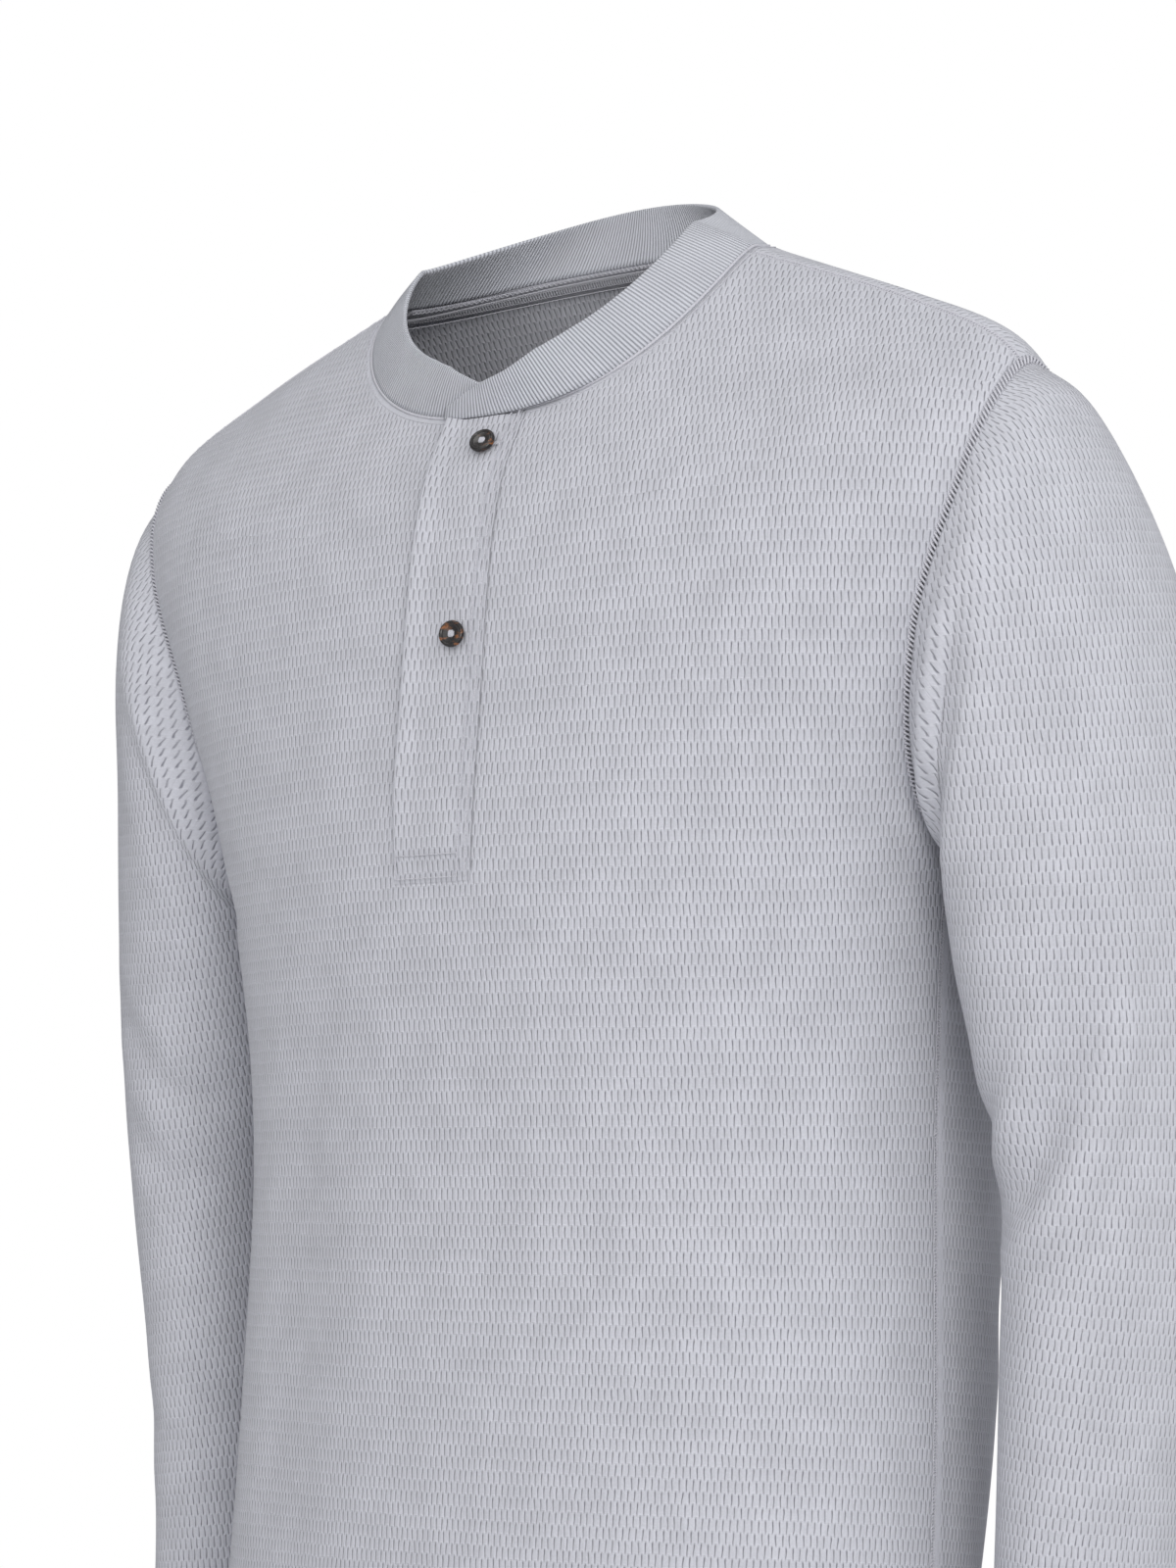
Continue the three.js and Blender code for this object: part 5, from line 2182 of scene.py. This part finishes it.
# ------------------------------------------------------------------ assembly
BODY, LEFT, RIGHT = Place.BODY, Place.LEFT, Place.RIGHT
CREASES: tuple[DrawnCrease, ...] = (
    # left elbow: a dent that sweeps in to the inner edge, with a soft bank behind it
    DrawnCrease(LEFT, ((57, 4.5), (58, 5.0), (66, 5.3), (80, 5.6), (102, 5.9), (125, 6.05)),
                9.5, 8.0),
    DrawnCrease(LEFT, ((46, 4.7), (48, 5.1), (54, 5.45), (66, 5.8), (84, 6.1)),
                10.0, 2.2, Fold.RIDGE),
    DrawnCrease(LEFT, ((76, 4.3), (80, 4.95), (90, 5.3), (106, 5.6)), 14.0, 3.4),
    DrawnCrease(LEFT, ((110, 5.0), (124, 5.3), (150, 5.5), (175, 5.5)), 7.0, 1.6),
    # left armpit: gathered cloth in front of the pit
    DrawnCrease(LEFT, ((80, 1.15), (94, 1.32), (108, 1.46), (122, 1.58), (138, 1.75)), 5.5, 5.2),
    DrawnCrease(LEFT, ((122, 1.8), (134, 2.1), (150, 2.5)), 6.0, 2.2),
    DrawnCrease(LEFT, ((128, 1.0), (140, 1.2), (154, 1.5)), 4.0, 1.6),
    DrawnCrease(LEFT, ((146, 0.7), (158, 1.0), (172, 1.3)), 3.5, 1.4),
    DrawnCrease(LEFT, ((90, 1.25), (104, 1.5), (116, 1.85)), 8.0, 1.0),
    DrawnCrease(BODY, ((72, 4.33), (78, 4.2), (84, 4.02), (90, 3.84)), 4.5, 2.4),
    DrawnCrease(BODY, ((66, 4.2), (74, 4.02), (82, 3.8)), 6.0, 0.9),
    # left sleeve, outside and behind
    DrawnCrease(LEFT, ((300, 4.6), (285, 4.95), (262, 5.2), (240, 5.3)), 9.0, 2.4),
    DrawnCrease(LEFT, ((320, 5.3), (296, 5.55), (268, 5.7), (236, 5.65)), 8.0, 1.8),
    DrawnCrease(LEFT, ((250, 1.3), (232, 1.8), (214, 2.3)), 9.0, 2.4),
    DrawnCrease(LEFT, ((20, 6.9), (48, 7.25), (84, 7.4)), 10.0, 1.1),
    DrawnCrease(LEFT, ((200, 7.6), (236, 8.0), (280, 8.15)), 9.0, 1.3),
    # right sleeve
    DrawnCrease(RIGHT, ((82, 0.85), (90, 0.65), (104, 0.5), (122, 0.5)), 6.0, 2.2),
    DrawnCrease(RIGHT, ((88, 1.5), (104, 1.9), (124, 2.3), (146, 2.5)), 9.0, 2.0),
    DrawnCrease(RIGHT, ((60, 4.7), (84, 5.0), (112, 5.2), (140, 5.1)), 9.0, 2.4),
    DrawnCrease(RIGHT, ((70, 5.5), (98, 5.8), (130, 5.9)), 8.0, 1.8),
    DrawnCrease(RIGHT, ((290, 4.5), (268, 4.9), (246, 5.1)), 9.0, 2.2),
    DrawnCrease(RIGHT, ((256, 1.4), (234, 1.9), (216, 2.4)), 9.0, 2.2),
    DrawnCrease(RIGHT, ((40, 7.2), (76, 7.5), (112, 7.4)), 10.0, 1.2),
    # body, front
    DrawnCrease(BODY, ((-21, 3.4), (-28, 2.9), (-31, 2.3), (-32, 1.6), (-30, 1.0)), 24.0, 2.6),
    DrawnCrease(BODY, ((-72, 4.3), (-64, 4.0), (-54, 3.8)), 8.0, 1.8),
    DrawnCrease(BODY, ((2, 0.9), (18, 0.7), (36, 0.62), (52, 0.75)), 16.0, 1.6),
    DrawnCrease(BODY, ((60, 1.5), (48, 1.2), (30, 1.05)), 14.0, 1.2),
    # body, back
    DrawnCrease(BODY, ((112, 4.4), (124, 4.05), (138, 3.85)), 9.0, 2.2),
    DrawnCrease(BODY, ((248, 4.4), (236, 4.0), (224, 3.82)), 9.0, 2.4),
    DrawnCrease(BODY, ((120, 2.3), (142, 2.12), (168, 2.16), (190, 2.02)), 13.0, 2.4),
    DrawnCrease(BODY, ((232, 2.7), (212, 2.5), (190, 2.52)), 12.0, 2.0),
    DrawnCrease(BODY, ((150, 1.7), (176, 1.56), (206, 1.62)), 12.0, 1.6),
    DrawnCrease(BODY, ((176, 6.6), (180, 5.8), (183, 4.9)), 20.0, 1.4),
)


class Shirt:
    """Builds and dresses every piece of the shirt."""

    def __init__(self) -> None:
        """Sets out the pattern and the materials."""
        self.pattern = Pattern(CREASES)
        self.wardrobe = Wardrobe()

    def _stitches(self, name: str, basket: ThreadBasket) -> bpy.types.Object:
        """Builds and dresses one piece of stitching."""
        piece = basket.build(name)
        dress(piece, self.wardrobe.thread, "thread")
        return piece

    def _main_piece(self, part: Panel | Sleeve) -> None:
        """Builds and dresses a panel or a sleeve, and logs the size it is cut to.

        Args:
            part: The panel or the sleeve.
        """
        piece = part.build().build(f"{part.name}_cloth")
        add_wall(piece, KNIT)
        dress(piece, self.wardrobe.knit, "knit", part.name)
        sewn_on = [self._stitches(f"{part.name}_stitches", part.threads())]
        if part.name == "back_panel":
            sewn_on += self._tape()
        width, length, area = Cut.size(part.flat, part.keep)
        LOG.info("%s is cut %.3f by %.3f m, %.4f m2", part.name, width, length, area)

    def body_and_sleeves(self) -> None:
        """Builds the front, the back and both sleeves."""
        for is_back in (False, True):
            self._main_piece(Panel(self.pattern, is_back))
        for side in (1, -1):
            self._main_piece(Sleeve(self.pattern, side))

    def placket(self) -> None:
        """Builds the placket's two strips and their stitching."""
        placket = Placket(self.pattern)
        under = placket.under.build().build("placket_under_cloth")
        outer = placket.outer.build().build("placket_outer_cloth")
        dress(under, self.wardrobe.knit, "knit", "placket_under")
        dress(outer, self.wardrobe.knit, "knit", "placket_outer")
        stitches = self._stitches("placket_stitches", placket.threads())

    def neck(self) -> None:
        """Builds the rib band."""
        collar = Collar(self.pattern)
        band = collar.build().build("collar_band_rib")
        dress(band, self.wardrobe.rib, "rib", "collar_band")

    def _tape(self) -> list[bpy.types.Object]:
        """Builds the tape inside the back of the neck and its stitches."""
        tape = NeckTape(self.pattern)
        piece = tape.build().build("neck_tape_twill")
        add_wall(piece, -tape.wall)
        dress(piece, self.wardrobe.tape, "tape", "neck_tape")
        return [piece, self._stitches("neck_tape_stitches", tape.threads())]

    def buttons(self) -> None:
        """Builds the two buttons and the threads that hold them."""
        for index in range(len(BUTTON_DROPS)):
            button = Button(self.pattern, index)
            dress(button.build(), self.wardrobe.horn, "button", f"button_{index + 1}")
            thread = button.thread().build(f"button_thread_{index + 1}_strands")
            dress(thread, self.wardrobe.thread, "thread", f"button_thread_{index + 1}")

    def build(self) -> None:
        """Builds the whole shirt in order."""
        self.body_and_sleeves()
        self.placket()
        self.neck()
        self.buttons()


def main() -> None:
    """Builds the shirt and its studio."""
    logging.basicConfig(level=logging.INFO, format="%(name)s: %(message)s")
    shirt = Shirt()
    shirt.build()
    Studio().build(shirt.wardrobe)


if __name__ == "__main__":
    main()
